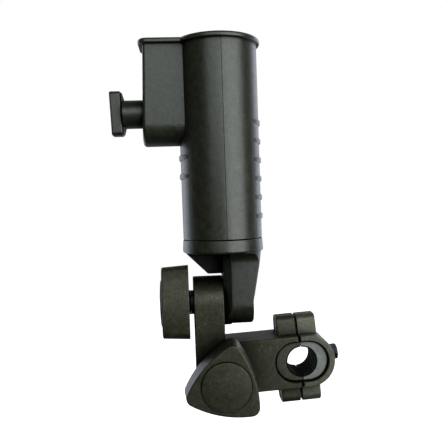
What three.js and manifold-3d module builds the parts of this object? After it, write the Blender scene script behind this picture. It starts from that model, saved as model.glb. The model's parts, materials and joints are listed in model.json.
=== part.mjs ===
// Adjustable rod and umbrella holder: a keyhole-shaped tube on a double knuckle with two tri-lobe
// knobs, carried by a clamp arm that grips a round rail. Millimetres, +Z up. The origin is the
// centre of the rail bore, +Y runs along the rail, and the arm reaches to -X.
import * as THREE from "three";
import { mergeVertices } from "three/addons/utils/BufferGeometryUtils.js";
import Module from "manifold-3d";

// ---- Driving dimensions -------------------------------------------------------------------------
const GAP = 0.3; // between pieces that touch
const RUN = 0.12; // radial clearance of a shaft in its hole
const LAP = 0.5; // how far two forms of one piece reach into each other
const PAST = 1; // how far a cutter runs past what it cuts

const ARM = { lean: 2.8, length: 45.6, halfHeight: 14.9, halfDepth: 12.5 };
const RAIL_BORE = { radius: 8.2, ovalRadius: 11.7, ovalOffset: 3.8 };
const JAW = { endOffset: 4.2, splitFrom: -1.25, splitTo: -0.05, sleeveRecess: 1.9 };
const EAR = {
  left: -12.3,
  right: 10.9,
  top: 25.4,
  front: -5.5,
  back: 8.5,
  round: 4,
  boltHeight: 19.3,
  leanAbove: 2,
  leanBelow: -0.8,
};
const CLAMP_BOLT = { radius: 2.5, headRadius: 4.25, head: 5, washer: 0.8, nutAcross: 8, nut: 4 };
const CLAMP_SOCKET = { across: 4, depth: 2.2 };
const SLEEVE_SCREW = { angle: 3, radius: 1.9, across: 8, head: 3.6, bite: 3 };

const HOLDER_DEPTH = -11.5; // the tube's axis stands this far in front of the arm's middle
const PIVOT = { x: -2.5, z: -39.3 }; // swing axis, from the point where tilt axis and tube axis cross

const TUBE = { radius: 22, bore: 19, bottom: 35.5, top: 144.2 };
const RIM = { proud: 1.8, height: 2.8, pastPocket: 2.6, pocketCorner: 5 };
const POCKET = { outer: 42, outerAtTop: 40.2, half: 11.2, wall: 2.4, bottom: 87.5, corner: 2 };
const POCKET_BOSS = { inner: 34, top: 118.5 };
const RIDGE = { radius: 19.4, offset: 3.42, height: 4.6, round: 1.2, flat: 1.84, pitch: 10.25 };
const RIDGE_ROWS = { lowest: 11.8, right: [0, 1, 2, 3, 4, 5], left: [2, 3], leftLift: 2.3 };
const COLLAR = { radius: 22.6, draft: 0.45, bottom: 28, round: 1.4, spigot: 5.5, lead: 0.6 };
const FOOT = { left: -0.9, plate: 4.2, right: 15.1, rightAtTop: 20.2, radius: 13.3, recess: 0.6 };
const FOOT_CORNER = { width: 1, height: 3.5, shoulder: 1 }; // of the lower right end, and where it widens
const FOOT_CHAMFER = { width: 4.4, depth: 3.2 }; // of the plate's front and back edges
const FOOT_FLARE = 6; // radius of the body's run-out into the collar
const GUSSET = { reach: 20.5, flat: 9, bottom: 15.8, half: 1.7, rise: 0.8 };

const KNUCKLE = { left: -17.65, right: -1.25, front: -14.5, back: -1.35, radius: 14.5, disc: 15.15 };
const TEETH = { count: 16, from: 7, to: 12, size: 0.9 };

const BOLT = { radius: 4, across: 13, head: 5.3, end: 12.5, recess: 6 };
const WASHER = { radius: 6.7, from: 0.3, to: 1.3 };
const KNOB = { hub: 1.6, back: 2.4, front: 17.3, corner: 21.6, side: 15.3, lobe: 4.5 };
const KNOB_EDGE = { draft: 1, bevel: 1 };
const KNOB_CAP = { radius: 13, seat: 13.6, edge: 0.2, dome: 1.4 };
const KNOB_TURN = { tilt: 72, swing: 17 }; // how the two knobs happen to stand, in degrees
const KNOB_NUT = { across: 13, from: 5, to: 11.5 };
const KNOB_BACK = { depth: 7, hub: 10.2, wall: 2.8, lobe: 3.5, rib: 1.2 };

const SCREW = { height: 105.5, radius: 7.75, shankTo: -33, pinRadius: 3.5, pinTo: -27.4 };
const WING = { outer: -59.3, inner: -53.2, shoulder: -51.6, half: 12.25, bevel: 1.3, thick: 4.6 };
const SHOE = { back: -32.6, front: -24, half: 8.4, floorHeight: 99.5, top: 118 };
const SHOE_PAD = { inset: 0.6, front: -17.5 };

const ROUND = 48; // sides of a large round form
const SMALL_ROUND = 28; // sides of a shaft or a hole
const WELD = 1e-4; // corners closer than this are one
const ROOM = 60; // wider than any single piece

// ---- Materials ----------------------------------------------------------------------------------
const plastic = (colour, roughness) =>
  new THREE.MeshStandardMaterial({ color: colour, roughness, metalness: 0 });
const steel = (colour, roughness) =>
  new THREE.MeshStandardMaterial({ color: colour, roughness, metalness: 1 });

const HOUSING = plastic(0x1d1f20, 0.42);
const FITTING = plastic(0x222523, 0.5);
const SLEEVE = plastic(0x2b2e2d, 0.55);
const RUBBER = plastic(0x161616, 0.85);
const ZINC = steel(0x8f9396, 0.35);
const BLACK_STEEL = steel(0x2a2b2d, 0.45);
const BRASS = steel(0xb08d4c, 0.35);

// ---- Solids -------------------------------------------------------------------------------------
const wasm = await Module();
wasm.setup();

const X = new THREE.Vector3(1, 0, 0);
const Y = new THREE.Vector3(0, 1, 0);
const Z = new THREE.Vector3(0, 0, 1);

// A drawing plane per axis: an outline's first and second coordinates lie along the two other axes,
// in X, Y, Z order, and what is drawn is carried along the named axis.
const PLANES = {
  x: new THREE.Matrix4().makeBasis(Y, Z, X),
  y: new THREE.Matrix4().makeBasis(X, Z, Y.clone().negate()),
  z: new THREE.Matrix4().makeBasis(X, Y, Z),
};

function solid(geometry) {
  const plain = geometry.clone();
  plain.deleteAttribute("normal");
  plain.deleteAttribute("uv");
  const merged = mergeVertices(plain, WELD);
  return new wasm.Manifold(
    new wasm.Mesh({
      numProp: 3,
      vertProperties: merged.attributes.position.array,
      triVerts: new Uint32Array(merged.index.array),
    }),
  );
}

const join = (first, ...others) => others.reduce((sum, other) => sum.add(other), first);
const cut = (first, ...others) => others.reduce((rest, other) => rest.subtract(other), first);
const common = (first, ...others) => others.reduce((part, other) => part.intersect(other), first);

// What an outline sweeps between two places on an axis.
function prism(axis, outline, from, to) {
  const geometry = new THREE.ExtrudeGeometry(outline, {
    depth: to - from,
    bevelEnabled: false,
    curveSegments: 8,
  });
  geometry.translate(0, 0, axis === "y" ? -to : from);
  return solid(geometry.applyMatrix4(PLANES[axis]));
}

// A round bar along an axis, its centre given in the axis's drawing plane.
function bar(axis, radius, from, to, [across, up] = [0, 0], sides = SMALL_ROUND) {
  const geometry = new THREE.CylinderGeometry(radius, radius, to - from, sides);
  const middle = (from + to) / 2;
  geometry.rotateX(Math.PI / 2).translate(across, up, axis === "y" ? -middle : middle);
  return solid(geometry.applyMatrix4(PLANES[axis]));
}

const hexBar = (axis, acrossFlats, from, to, centre) =>
  bar(axis, acrossFlats / Math.sqrt(3), from, to, centre, 6);

// A solid of revolution about Z, from [radius, height] points that climb from axis to axis.
function turned(points, sides = ROUND) {
  const profile = points.map(([radius, height]) => new THREE.Vector2(radius, height));
  return solid(new THREE.LatheGeometry(profile, sides).rotateX(Math.PI / 2));
}

function polygon(points) {
  return new THREE.Shape(points.map(([across, up]) => new THREE.Vector2(across, up)));
}

// A rectangle with its corners rounded, each pair of bounds in the outline's own plane.
function roundedRectangle(left, right, bottom, top, radius) {
  const outline = new THREE.Shape();
  outline.absarc(right - radius, bottom + radius, radius, -Math.PI / 2, 0, false);
  outline.absarc(right - radius, top - radius, radius, 0, Math.PI / 2, false);
  outline.absarc(left + radius, top - radius, radius, Math.PI / 2, Math.PI, false);
  outline.absarc(left + radius, bottom + radius, radius, Math.PI, Math.PI * 1.5, false);
  outline.closePath();
  return outline;
}

// An upright slab with a half-round lower end.
function tongue(half, roundHeight, top) {
  const outline = new THREE.Shape();
  outline.moveTo(half, top);
  outline.lineTo(-half, top);
  outline.absarc(0, roundHeight, half, Math.PI, Math.PI * 2, false);
  outline.closePath();
  return outline;
}

// Two half circles with straight sides between them.
function stadium(radius, offset) {
  const outline = new THREE.Shape();
  outline.absarc(offset, 0, radius, -Math.PI / 2, Math.PI / 2, false);
  outline.absarc(-offset, 0, radius, Math.PI / 2, Math.PI * 1.5, false);
  outline.closePath();
  return outline;
}

// A convex-sided triangle with round corners; its first side faces along the outline's first axis.
function triLobe(corner, side, lobe) {
  const lobeDistance = corner - lobe;
  const sideReach = side - lobe;
  const swing = (lobeDistance ** 2 - sideReach ** 2) / (2 * sideReach - lobeDistance);
  const sideRadius = swing + side;
  const third = (Math.PI * 2) / 3;
  const sixth = third / 2;
  const halfSpan = Math.atan2(
    lobeDistance * Math.sin(sixth),
    lobeDistance * Math.cos(sixth) + swing,
  );
  const outline = new THREE.Shape();
  for (let i = 0; i < 3; i += 1) {
    const facing = i * third;
    const centre = [-swing * Math.cos(facing), -swing * Math.sin(facing)];
    outline.absarc(...centre, sideRadius, facing - halfSpan, facing + halfSpan, false);
    const next = facing + sixth;
    const lobeCentre = [lobeDistance * Math.cos(next), lobeDistance * Math.sin(next)];
    outline.absarc(...lobeCentre, lobe, facing + halfSpan, facing + third - halfSpan, false);
  }
  outline.closePath();
  return outline;
}

// Radial grooves in a face that lies on the drawing plane of an axis.
function faceTeeth(axis, face, centre) {
  const grooves = [];
  const length = TEETH.to - TEETH.from;
  for (let i = 0; i < TEETH.count; i += 1) {
    const groove = new THREE.BoxGeometry(length, TEETH.size, TEETH.size);
    groove.rotateX(Math.PI / 4).translate(TEETH.from + length / 2, 0, 0);
    groove.rotateZ((i * Math.PI * 2) / TEETH.count);
    groove.translate(...centre, axis === "y" ? -face : face);
    grooves.push(solid(groove.applyMatrix4(PLANES[axis])));
  }
  return join(...grooves);
}

function named(name, shape, material) {
  const made = shape.getMesh();
  const geometry = new THREE.BufferGeometry();
  geometry.setAttribute("position", new THREE.BufferAttribute(made.vertProperties, 3));
  geometry.setIndex(new THREE.BufferAttribute(made.triVerts, 1));
  geometry.computeVertexNormals();
  const mesh = new THREE.Mesh(geometry, material);
  mesh.name = name;
  return mesh;
}

// ---- Rail clamp, in a frame whose X runs along the arm ------------------------------------------
const armFront = -ARM.halfDepth;
const armBack = ARM.halfDepth;
const earMiddle = (EAR.front + EAR.back) / 2;
const nutSeat = EAR.left + CLAMP_BOLT.nut;
const ovalHole = () =>
  prism("y", stadium(RAIL_BORE.ovalRadius, RAIL_BORE.ovalOffset), armFront - PAST, armBack + PAST);

// The side view of an ear above (1) or below (-1) the opening. Beyond the arm's edge its front face
// leans back by a given amount at the ear's end.
function earOutline(side, lean) {
  const { front, back, top, round } = EAR;
  const rise = top - ARM.halfHeight;
  const tilt = Math.atan2(lean, rise);
  const level = top - round;
  const hub = front + (lean * (level - ARM.halfHeight)) / rise + round / Math.cos(tilt);
  const points = [
    [front, 0],
    [back, 0],
  ];
  for (const [centre, start, end] of [
    [back - round, 0, Math.PI / 2],
    [hub, Math.PI / 2, Math.PI - tilt],
  ]) {
    for (let k = 0; k <= 8; k++) {
      const angle = start + ((end - start) * k) / 8;
      points.push([centre + round * Math.cos(angle), level + round * Math.sin(angle)]);
    }
  }
  points.push([front, ARM.halfHeight]);
  return polygon(points.map(([across, up]) => [across, side * up]));
}

// The pair of ears above and below the opening, between two places along the arm.
function ears(from, to) {
  return join(
    prism("x", earOutline(1, EAR.leanAbove), from, to),
    prism("x", earOutline(-1, EAR.leanBelow), from, to),
  );
}

function onBothBoltAxes(make) {
  return join(make([earMiddle, EAR.boltHeight]), make([earMiddle, -EAR.boltHeight]));
}

function clampArm() {
  const plate = new THREE.Shape();
  plate.absarc(-ARM.length, 0, ARM.halfHeight, Math.PI / 2, Math.PI * 1.5, false);
  plate.lineTo(JAW.splitFrom, -ARM.halfHeight);
  plate.lineTo(JAW.splitFrom, ARM.halfHeight);
  plate.closePath();
  const body = join(prism("y", plate, armFront, armBack), ears(EAR.left, JAW.splitFrom));
  const pivot = [-ARM.length, 0];
  return cut(
    body,
    ovalHole(),
    onBothBoltAxes((at) => bar("x", CLAMP_BOLT.radius + RUN, EAR.left - PAST, 0, at)),
    onBothBoltAxes((at) =>
      hexBar("x", CLAMP_BOLT.nutAcross + 2 * GAP, EAR.left - PAST, nutSeat + GAP, at),
    ),
    bar("y", BOLT.radius + RUN, armFront - PAST, armBack + PAST, pivot),
    hexBar("y", BOLT.across + 2 * GAP, armBack - BOLT.recess, armBack + PAST, pivot),
    faceTeeth("y", armFront, pivot),
  );
}

// A bar along the sleeve screw's own axis, which leans up from the arm's.
function alongSleeveScrew(radius, from, to, sides = SMALL_ROUND) {
  const geometry = new THREE.CylinderGeometry(radius, radius, to - from, sides);
  geometry.rotateX(Math.PI / 2).translate(0, 0, (from + to) / 2).applyMatrix4(PLANES.x);
  return solid(geometry.rotateY(-THREE.MathUtils.degToRad(SLEEVE_SCREW.angle)));
}

const jawEnd = JAW.endOffset + ARM.halfHeight;
const sleeveEnd = RAIL_BORE.ovalOffset + RAIL_BORE.ovalRadius - GAP;

function clampJaw() {
  const plate = new THREE.Shape();
  plate.absarc(JAW.endOffset, 0, ARM.halfHeight, -Math.PI / 2, Math.PI / 2, false);
  plate.lineTo(JAW.splitTo, ARM.halfHeight);
  plate.lineTo(JAW.splitTo, -ARM.halfHeight);
  plate.closePath();
  const body = join(prism("y", plate, armFront, armBack), ears(JAW.splitTo, EAR.right));
  const headSeat = EAR.right - CLAMP_BOLT.head - CLAMP_BOLT.washer - 2 * GAP;
  return cut(
    body,
    ovalHole(),
    onBothBoltAxes((at) => bar("x", CLAMP_BOLT.radius + RUN, -PAST, EAR.right + PAST, at)),
    onBothBoltAxes((at) => bar("x", CLAMP_BOLT.headRadius + GAP, headSeat, EAR.right + PAST, at)),
    alongSleeveScrew(SLEEVE_SCREW.radius + RUN, 0, jawEnd + PAST),
  );
}

function sleeveBlank() {
  const outline = stadium(RAIL_BORE.ovalRadius - GAP, RAIL_BORE.ovalOffset);
  const body = prism("y", outline, armFront + JAW.sleeveRecess, armBack - GAP);
  return cut(body, bar("y", RAIL_BORE.radius, armFront, armBack + PAST, [0, 0], ROUND));
}

// Everything between two places along the arm.
function stretch(from, to) {
  const outline = polygon([
    [from, -ROOM],
    [to, -ROOM],
    [to, ROOM],
    [from, ROOM],
  ]);
  return prism("y", outline, armFront, armBack);
}

function fixedSleeve() {
  return common(sleeveBlank(), stretch(-ROOM, -GAP));
}

function movingSleeve() {
  const half = common(sleeveBlank(), stretch(GAP, ROOM));
  return cut(
    half,
    alongSleeveScrew(SLEEVE_SCREW.radius + RUN, sleeveEnd - SLEEVE_SCREW.bite - GAP, jawEnd),
  );
}

function sleeveScrew() {
  const headFrom = jawEnd + GAP;
  const acrossCorners = SLEEVE_SCREW.across / Math.sqrt(3);
  return join(
    alongSleeveScrew(SLEEVE_SCREW.radius, sleeveEnd - SLEEVE_SCREW.bite, headFrom + LAP),
    alongSleeveScrew(acrossCorners, headFrom, headFrom + SLEEVE_SCREW.head, 6),
  );
}

function clampBolt(height) {
  const at = [earMiddle, height];
  const headTo = EAR.right - GAP;
  const headFrom = headTo - CLAMP_BOLT.head;
  const socket = hexBar("x", CLAMP_SOCKET.across, headTo - CLAMP_SOCKET.depth, headTo + PAST, at);
  return cut(
    join(
      bar("x", CLAMP_BOLT.headRadius, headFrom, headTo, at),
      bar("x", CLAMP_BOLT.radius, EAR.left + GAP, headFrom + LAP, at),
    ),
    socket,
  );
}

function clampWasher(height) {
  const at = [earMiddle, height];
  const to = EAR.right - 2 * GAP - CLAMP_BOLT.head;
  const from = to - CLAMP_BOLT.washer + GAP;
  return cut(
    bar("x", CLAMP_BOLT.headRadius, from, to, at),
    bar("x", CLAMP_BOLT.radius + RUN, from - PAST, to + PAST, at),
  );
}

function clampNut(height) {
  const at = [earMiddle, height];
  const from = EAR.left + GAP;
  return cut(
    hexBar("x", CLAMP_BOLT.nutAcross, from, nutSeat, at),
    bar("x", CLAMP_BOLT.radius + RUN, from - PAST, nutSeat + PAST, at),
  );
}

// ---- Knobs, drawn along +Z with 0 at the face that the stack presses on -------------------------
function knobBody() {
  const outline = triLobe(KNOB.corner, KNOB.side, KNOB.lobe);
  const height = KNOB.front - KNOB.back;
  const { bevel } = KNOB_EDGE;
  const blank = new THREE.ExtrudeGeometry(outline, {
    depth: height - 2 * bevel,
    bevelThickness: bevel,
    bevelSize: bevel,
    bevelOffset: -bevel,
    bevelSegments: 1,
    curveSegments: 4,
  });
  blank.translate(0, 0, KNOB.back + bevel);
  widenTowardsBack(blank);
  const { wall, lobe } = KNOB_BACK;
  const recess = triLobe(KNOB.corner - wall, KNOB.side - wall, lobe);
  const recessTop = KNOB.back + KNOB_BACK.depth;
  const ribs = [0, 1, 2].map((i) => {
    const rib = new THREE.BoxGeometry(KNOB.corner, KNOB_BACK.rib, KNOB_BACK.depth);
    rib.translate(KNOB.corner / 2, 0, KNOB.back + KNOB_BACK.depth / 2);
    return solid(rib.rotateZ(((2 * i + 1) * Math.PI) / 3));
  });
  const hollow = cut(
    prism("z", recess, KNOB.back - PAST, recessTop),
    bar("z", KNOB_BACK.hub, KNOB.back - 2 * PAST, recessTop + PAST),
    ...ribs,
  );
  const hub = bar("z", WASHER.radius, KNOB.hub, KNOB.back + LAP);
  return cut(
    join(cut(solid(blank), hollow), hub),
    bar("z", BOLT.radius + 2 * RUN, KNOB.hub - PAST, KNOB.front),
    hexBar("z", KNOB_NUT.across + 2 * GAP, KNOB_NUT.from - GAP, KNOB.front),
    bar("z", KNOB_CAP.radius + GAP, KNOB_CAP.seat - GAP, KNOB.front + PAST, [0, 0], ROUND),
  );
}

// The sides lean out by the draft from the front of the knob to its back.
function widenTowardsBack(geometry) {
  const position = geometry.attributes.position;
  for (let i = 0; i < position.count; i += 1) {
    const fromFront = (KNOB.front - position.getZ(i)) / (KNOB.front - KNOB.back);
    const scale = 1 + (KNOB_EDGE.draft / KNOB.corner) * fromFront;
    position.setXY(i, position.getX(i) * scale, position.getY(i) * scale);
  }
}

function knobCap() {
  const { radius, seat, edge, dome } = KNOB_CAP;
  const steps = 4;
  const points = [
    [0, seat],
    [radius, seat],
    [radius, KNOB.front - edge],
  ];
  for (let i = 1; i <= steps; i += 1) {
    const angle = (i / steps) * (Math.PI / 2);
    points.push([i === steps ? 0 : radius * Math.cos(angle), KNOB.front + dome * Math.sin(angle)]);
  }
  return turned(points, ROUND);
}

function knobNut() {
  return cut(
    hexBar("z", KNOB_NUT.across, KNOB_NUT.from, KNOB_NUT.to),
    bar("z", BOLT.radius + RUN, KNOB_NUT.from - PAST, KNOB_NUT.to + PAST),
  );
}

function stackWasher() {
  return cut(
    bar("z", WASHER.radius, WASHER.from, WASHER.to),
    bar("z", BOLT.radius + RUN, WASHER.from - PAST, WASHER.to + PAST),
  );
}

// The bolt that a stack turns on, its hexagon head a given depth behind the pressed face.
function stackBolt(headDepth) {
  return join(
    hexBar("z", BOLT.across, -headDepth - BOLT.head, -headDepth),
    bar("z", BOLT.radius, -headDepth - LAP, BOLT.end),
  );
}

// A knob, its washer and its bolt; the knob stands turned from the outline's own direction.
function stack(prefix, headDepth, turn) {
  const group = new THREE.Group();
  const knob = new THREE.Group();
  knob.add(
    named(`${prefix}_knob`, knobBody(), FITTING),
    named(`${prefix}_knob_cap`, knobCap(), FITTING),
    named(`${prefix}_knob_nut`, knobNut(), BRASS),
  );
  knob.rotation.z = THREE.MathUtils.degToRad(turn);
  group.add(
    knob,
    named(`${prefix}_washer`, stackWasher(), BLACK_STEEL),
    named(`${prefix}_bolt`, stackBolt(headDepth), ZINC),
  );
  return group;
}

// ---- Knuckle and holder, in a frame with its origin on the tube's axis and the tilt axis --------
function knuckle() {
  const pivot = [PIVOT.x, PIVOT.z];
  const sideView = join(
    bar("x", KNUCKLE.radius, KNUCKLE.left, PIVOT.x + KNUCKLE.disc + PAST, [0, 0], ROUND),
    prism(
      "x",
      polygon([
        [KNUCKLE.front, PIVOT.z - KNUCKLE.disc],
        [KNUCKLE.back, PIVOT.z - KNUCKLE.disc],
        [KNUCKLE.back, 0],
        [KNUCKLE.front, 0],
      ]),
      KNUCKLE.left,
      PIVOT.x + KNUCKLE.disc + PAST,
    ),
  );
  const column = polygon([
    [KNUCKLE.left, PIVOT.z],
    [KNUCKLE.right, PIVOT.z],
    [KNUCKLE.right, KNUCKLE.radius + PAST],
    [KNUCKLE.left, KNUCKLE.radius + PAST],
  ]);
  const frontView = join(
    prism("y", column, -KNUCKLE.radius - PAST, KNUCKLE.radius + PAST),
    bar("y", KNUCKLE.disc, KNUCKLE.front, KNUCKLE.back, pivot, ROUND),
  );
  return cut(
    common(sideView, frontView),
    bar("x", BOLT.radius + RUN, KNUCKLE.left - PAST, KNUCKLE.right + PAST),
    bar("y", BOLT.radius + RUN, KNUCKLE.front - PAST, KNUCKLE.back + PAST, pivot),
    faceTeeth("x", KNUCKLE.right, [0, 0]),
    faceTeeth("y", KNUCKLE.back, pivot),
  );
}

// The pocket's outer form, or with an inset its hollow, from the bottom up to a given height.
function pocketForm(inset, top) {
  const half = POCKET.half - inset;
  const side = prism("x", tongue(half, POCKET.bottom + POCKET.half, top), -POCKET.outer, 0);
  const front = polygon([
    [-POCKET.outer + inset, POCKET.bottom],
    [0, POCKET.bottom],
    [0, top],
    [-POCKET.outerAtTop + inset, top],
  ]);
  const corner = Math.max(POCKET.corner - inset, LAP);
  const plan = roundedRectangle(-POCKET.outer + inset, corner, -half, half, corner);
  return common(
    side,
    prism("y", front, -POCKET.half, POCKET.half),
    prism("z", plan, POCKET.bottom, top),
  );
}

function gripRidges() {
  const { radius, height, round, flat, offset, pitch } = RIDGE;
  const ridge = (side, middle) => {
    const low = middle - height / 2;
    const high = middle + height / 2;
    const form = new THREE.LatheGeometry(
      [
        [0, low],
        [radius - round, low],
        [radius, middle - flat / 2],
        [radius, middle + flat / 2],
        [radius - round, high],
        [0, high],
      ].map(([r, h]) => new THREE.Vector2(r, h)),
      ROUND,
    );
    return solid(form.rotateX(Math.PI / 2).translate(side * offset, 0, 0));
  };
  const lowest = TUBE.bottom + RIDGE_ROWS.lowest;
  const right = RIDGE_ROWS.right.map((row) => ridge(1, lowest + row * pitch));
  const left = RIDGE_ROWS.left.map((row) => ridge(-1, lowest + row * pitch + RIDGE_ROWS.leftLift));
  return join(...right, ...left);
}

function holderTube() {
  const rimBottom = TUBE.top - RIM.height;
  const rimPlan = roundedRectangle(
    -POCKET.outerAtTop - RIM.pastPocket,
    POCKET.corner,
    -POCKET.half - RIM.proud,
    POCKET.half + RIM.proud,
    RIM.pocketCorner,
  );
  const outside = join(
    bar("z", TUBE.radius, TUBE.bottom, TUBE.top, [0, 0], ROUND),
    pocketForm(0, TUBE.top),
    bar("z", TUBE.radius + RIM.proud, rimBottom, TUBE.top, [0, 0], ROUND),
    prism("z", rimPlan, rimBottom, TUBE.top),
    gripRidges(),
  );
  const boss = prism(
    "y",
    polygon([
      [-POCKET.outer, POCKET.bottom],
      [-POCKET_BOSS.inner, POCKET.bottom],
      [-POCKET_BOSS.inner, POCKET_BOSS.top],
      [-POCKET.outer, POCKET_BOSS.top],
    ]),
    -POCKET.half,
    POCKET.half,
  );
  return cut(
    outside,
    bar("z", TUBE.bore, TUBE.bottom - PAST, TUBE.top + PAST, [0, 0], ROUND),
    cut(pocketForm(POCKET.wall, TUBE.top + PAST), boss),
    bar("x", SCREW.radius + RUN, -POCKET.outer - PAST, PAST - POCKET_BOSS.inner, [0, SCREW.height]),
  );
}

// The cutter for the sloping edge of the foot's plate, at its front (side -1) or its back (side 1).
function plateChamfer(side) {
  const { left, radius } = FOOT;
  const outline = [
    [left - PAST, side * (radius + PAST)],
    [left - PAST, side * (radius - FOOT_CHAMFER.depth)],
    [left, side * (radius - FOOT_CHAMFER.depth)],
    [left + FOOT_CHAMFER.width, side * radius],
    [left + FOOT_CHAMFER.width, side * (radius + PAST)],
  ];
  return prism("z", polygon(outline), -radius - PAST, COLLAR.bottom + PAST);
}

// The hollow curve from the foot's front (side -1) or back (side 1) to the underside of the collar.
function bodyFlare(side, bodyLeft) {
  const face = FOOT.radius - FOOT.recess;
  const top = COLLAR.bottom + LAP;
  const steps = 5;
  const outline = [
    [side * (face - LAP), top],
    [side * (face - LAP), COLLAR.bottom - FOOT_FLARE],
  ];
  for (let i = 0; i <= steps; i += 1) {
    const angle = (i / steps) * (Math.PI / 2);
    outline.push([
      side * (face + FOOT_FLARE * (1 - Math.cos(angle))),
      COLLAR.bottom - FOOT_FLARE * (1 - Math.sin(angle)),
    ]);
  }
  outline.push([side * (face + FOOT_FLARE), top]);
  return prism("x", polygon(outline), bodyLeft, FOOT.rightAtTop);
}

function tubeBase() {
  const { radius, draft, bottom, round, spigot, lead } = COLLAR;
  const top = TUBE.bottom - GAP;
  const seat = TUBE.bottom + spigot;
  const inner = TUBE.bore - GAP;
  const plug = turned([
    [0, bottom],
    [radius - round, bottom],
    [radius - round * 0.3, bottom + round * 0.3],
    [radius, bottom + round],
    [radius - draft, top],
    [inner, top],
    [inner, seat - lead],
    [inner - lead, seat],
    [0, seat],
  ]);
  const footTop = bottom + LAP;
  const bodyLeft = FOOT.left + FOOT.plate - LAP;
  const plate = cut(
    prism("x", tongue(FOOT.radius, 0, footTop), FOOT.left, FOOT.left + FOOT.plate),
    plateChamfer(-1),
    plateChamfer(1),
  );
  const bodyOutline = polygon([
    [bodyLeft, footTop],
    [bodyLeft, -FOOT.radius],
    [FOOT.right - FOOT_CORNER.width, -FOOT.radius],
    [FOOT.right, -FOOT.radius + FOOT_CORNER.height],
    [FOOT.right, FOOT_CORNER.shoulder],
    [FOOT.rightAtTop, footTop],
  ]);
  const body = common(
    join(
      prism("x", tongue(FOOT.radius - FOOT.recess, 0, footTop), bodyLeft, FOOT.rightAtTop),
      bodyFlare(-1, bodyLeft),
      bodyFlare(1, bodyLeft),
    ),
    prism("y", bodyOutline, -radius, radius),
    bar("z", radius, -FOOT.radius, footTop, [0, 0], ROUND),
  );
  const gusset = prism(
    "y",
    polygon([
      [-GUSSET.reach, footTop],
      [-GUSSET.reach, bottom - GUSSET.rise],
      [-GUSSET.flat, GUSSET.bottom],
      [FOOT.left + LAP, GUSSET.bottom],
      [FOOT.left + LAP, footTop],
    ]),
    -GUSSET.half,
    GUSSET.half,
  );
  return cut(
    join(plug, plate, body, gusset),
    bar("x", BOLT.radius + RUN, FOOT.left - PAST, FOOT.right + PAST),
    hexBar("x", BOLT.across + 2 * GAP, FOOT.right - BOLT.recess, FOOT.rightAtTop),
    faceTeeth("x", FOOT.left, [0, 0]),
  );
}

function thumbScrew() {
  const { outer, inner, shoulder, half, bevel, thick } = WING;
  const low = SCREW.height - half;
  const high = SCREW.height + half;
  const wing = prism(
    "y",
    polygon([
      [outer, low + bevel],
      [outer + bevel, low],
      [inner - bevel, low],
      [inner, low + bevel],
      [shoulder, SCREW.height - SCREW.radius],
      [shoulder, SCREW.height + SCREW.radius],
      [inner, high - bevel],
      [inner - bevel, high],
      [outer + bevel, high],
      [outer, high - bevel],
    ]),
    -thick,
    thick,
  );
  const at = [0, SCREW.height];
  return join(
    wing,
    bar("x", SCREW.radius, shoulder - LAP, SCREW.shankTo, at, ROUND),
    bar("x", SCREW.pinRadius, SCREW.shankTo - LAP, SCREW.pinTo, at),
  );
}

function pressureShoe() {
  const body = prism("x", tongue(SHOE.half, SHOE.floorHeight, SHOE.top), SHOE.back, SHOE.front);
  const socketEnd = SCREW.pinTo + GAP;
  return cut(
    body,
    bar("x", SCREW.pinRadius + RUN, SHOE.back - PAST, socketEnd, [0, SCREW.height]),
  );
}

function shoePad() {
  const { inset, front } = SHOE_PAD;
  const outline = tongue(SHOE.half - inset, SHOE.floorHeight, SHOE.top - inset);
  return cut(
    prism("x", outline, SHOE.front + GAP, front),
    bar("z", TUBE.bore + inset, 0, SHOE.top + PAST, [0, 0], ROUND),
  );
}

// ---- Assembly -----------------------------------------------------------------------------------
const clamp = new THREE.Group();
clamp.add(
  named("clamp_arm", clampArm(), FITTING),
  named("fixed_sleeve", fixedSleeve(), SLEEVE),
  named("clamp_jaw", clampJaw(), FITTING),
  named("moving_sleeve", movingSleeve(), SLEEVE),
  named("sleeve_screw", sleeveScrew(), BLACK_STEEL),
);
for (const [place, height] of [["upper", EAR.boltHeight], ["lower", -EAR.boltHeight]]) {
  clamp.add(
    named(`${place}_clamp_bolt`, clampBolt(height), BLACK_STEEL),
    named(`${place}_clamp_washer`, clampWasher(height), ZINC),
    named(`${place}_clamp_nut`, clampNut(height), ZINC),
  );
}
clamp.rotation.y = -THREE.MathUtils.degToRad(ARM.lean);

const tiltStack = stack("tilt", FOOT.right - BOLT.recess + GAP - KNUCKLE.left, KNOB_TURN.tilt);
tiltStack.applyMatrix4(new THREE.Matrix4().makeBasis(Y, Z.clone().negate(), X.clone().negate()));
tiltStack.position.x = KNUCKLE.left;

const swingHead = armBack - BOLT.recess + GAP - HOLDER_DEPTH - KNUCKLE.front;
const swingStack = stack("swing", swingHead, KNOB_TURN.swing);
swingStack.applyMatrix4(new THREE.Matrix4().makeBasis(X, Z, Y.clone().negate()));
swingStack.position.set(PIVOT.x, KNUCKLE.front, PIVOT.z);

const holder = new THREE.Group();
holder.add(
  named("holder_tube", holderTube(), HOUSING),
  named("tube_base", tubeBase(), HOUSING),
  named("knuckle", knuckle(), FITTING),
  named("thumb_screw", thumbScrew(), FITTING),
  named("pressure_shoe", pressureShoe(), FITTING),
  named("shoe_pad", shoePad(), RUBBER),
  tiltStack,
  swingStack,
);
const lean = THREE.MathUtils.degToRad(ARM.lean);
holder.position.set(
  -ARM.length * Math.cos(lean) - PIVOT.x,
  HOLDER_DEPTH,
  -ARM.length * Math.sin(lean) - PIVOT.z,
);

const rodHolder = new THREE.Group();
rodHolder.add(clamp, holder);

export default rodHolder;
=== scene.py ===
# The looks of the rail-mounted rod holder: its mouldings and fasteners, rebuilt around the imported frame
# with rounded edges, parting lines and procedural finishes. Shapes are drawn in millimetres, and piece()
# turns them into metres; materials, camera and lights are in metres.
import json
import math

import bmesh
import bpy
from mathutils import Matrix, Vector


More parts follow.
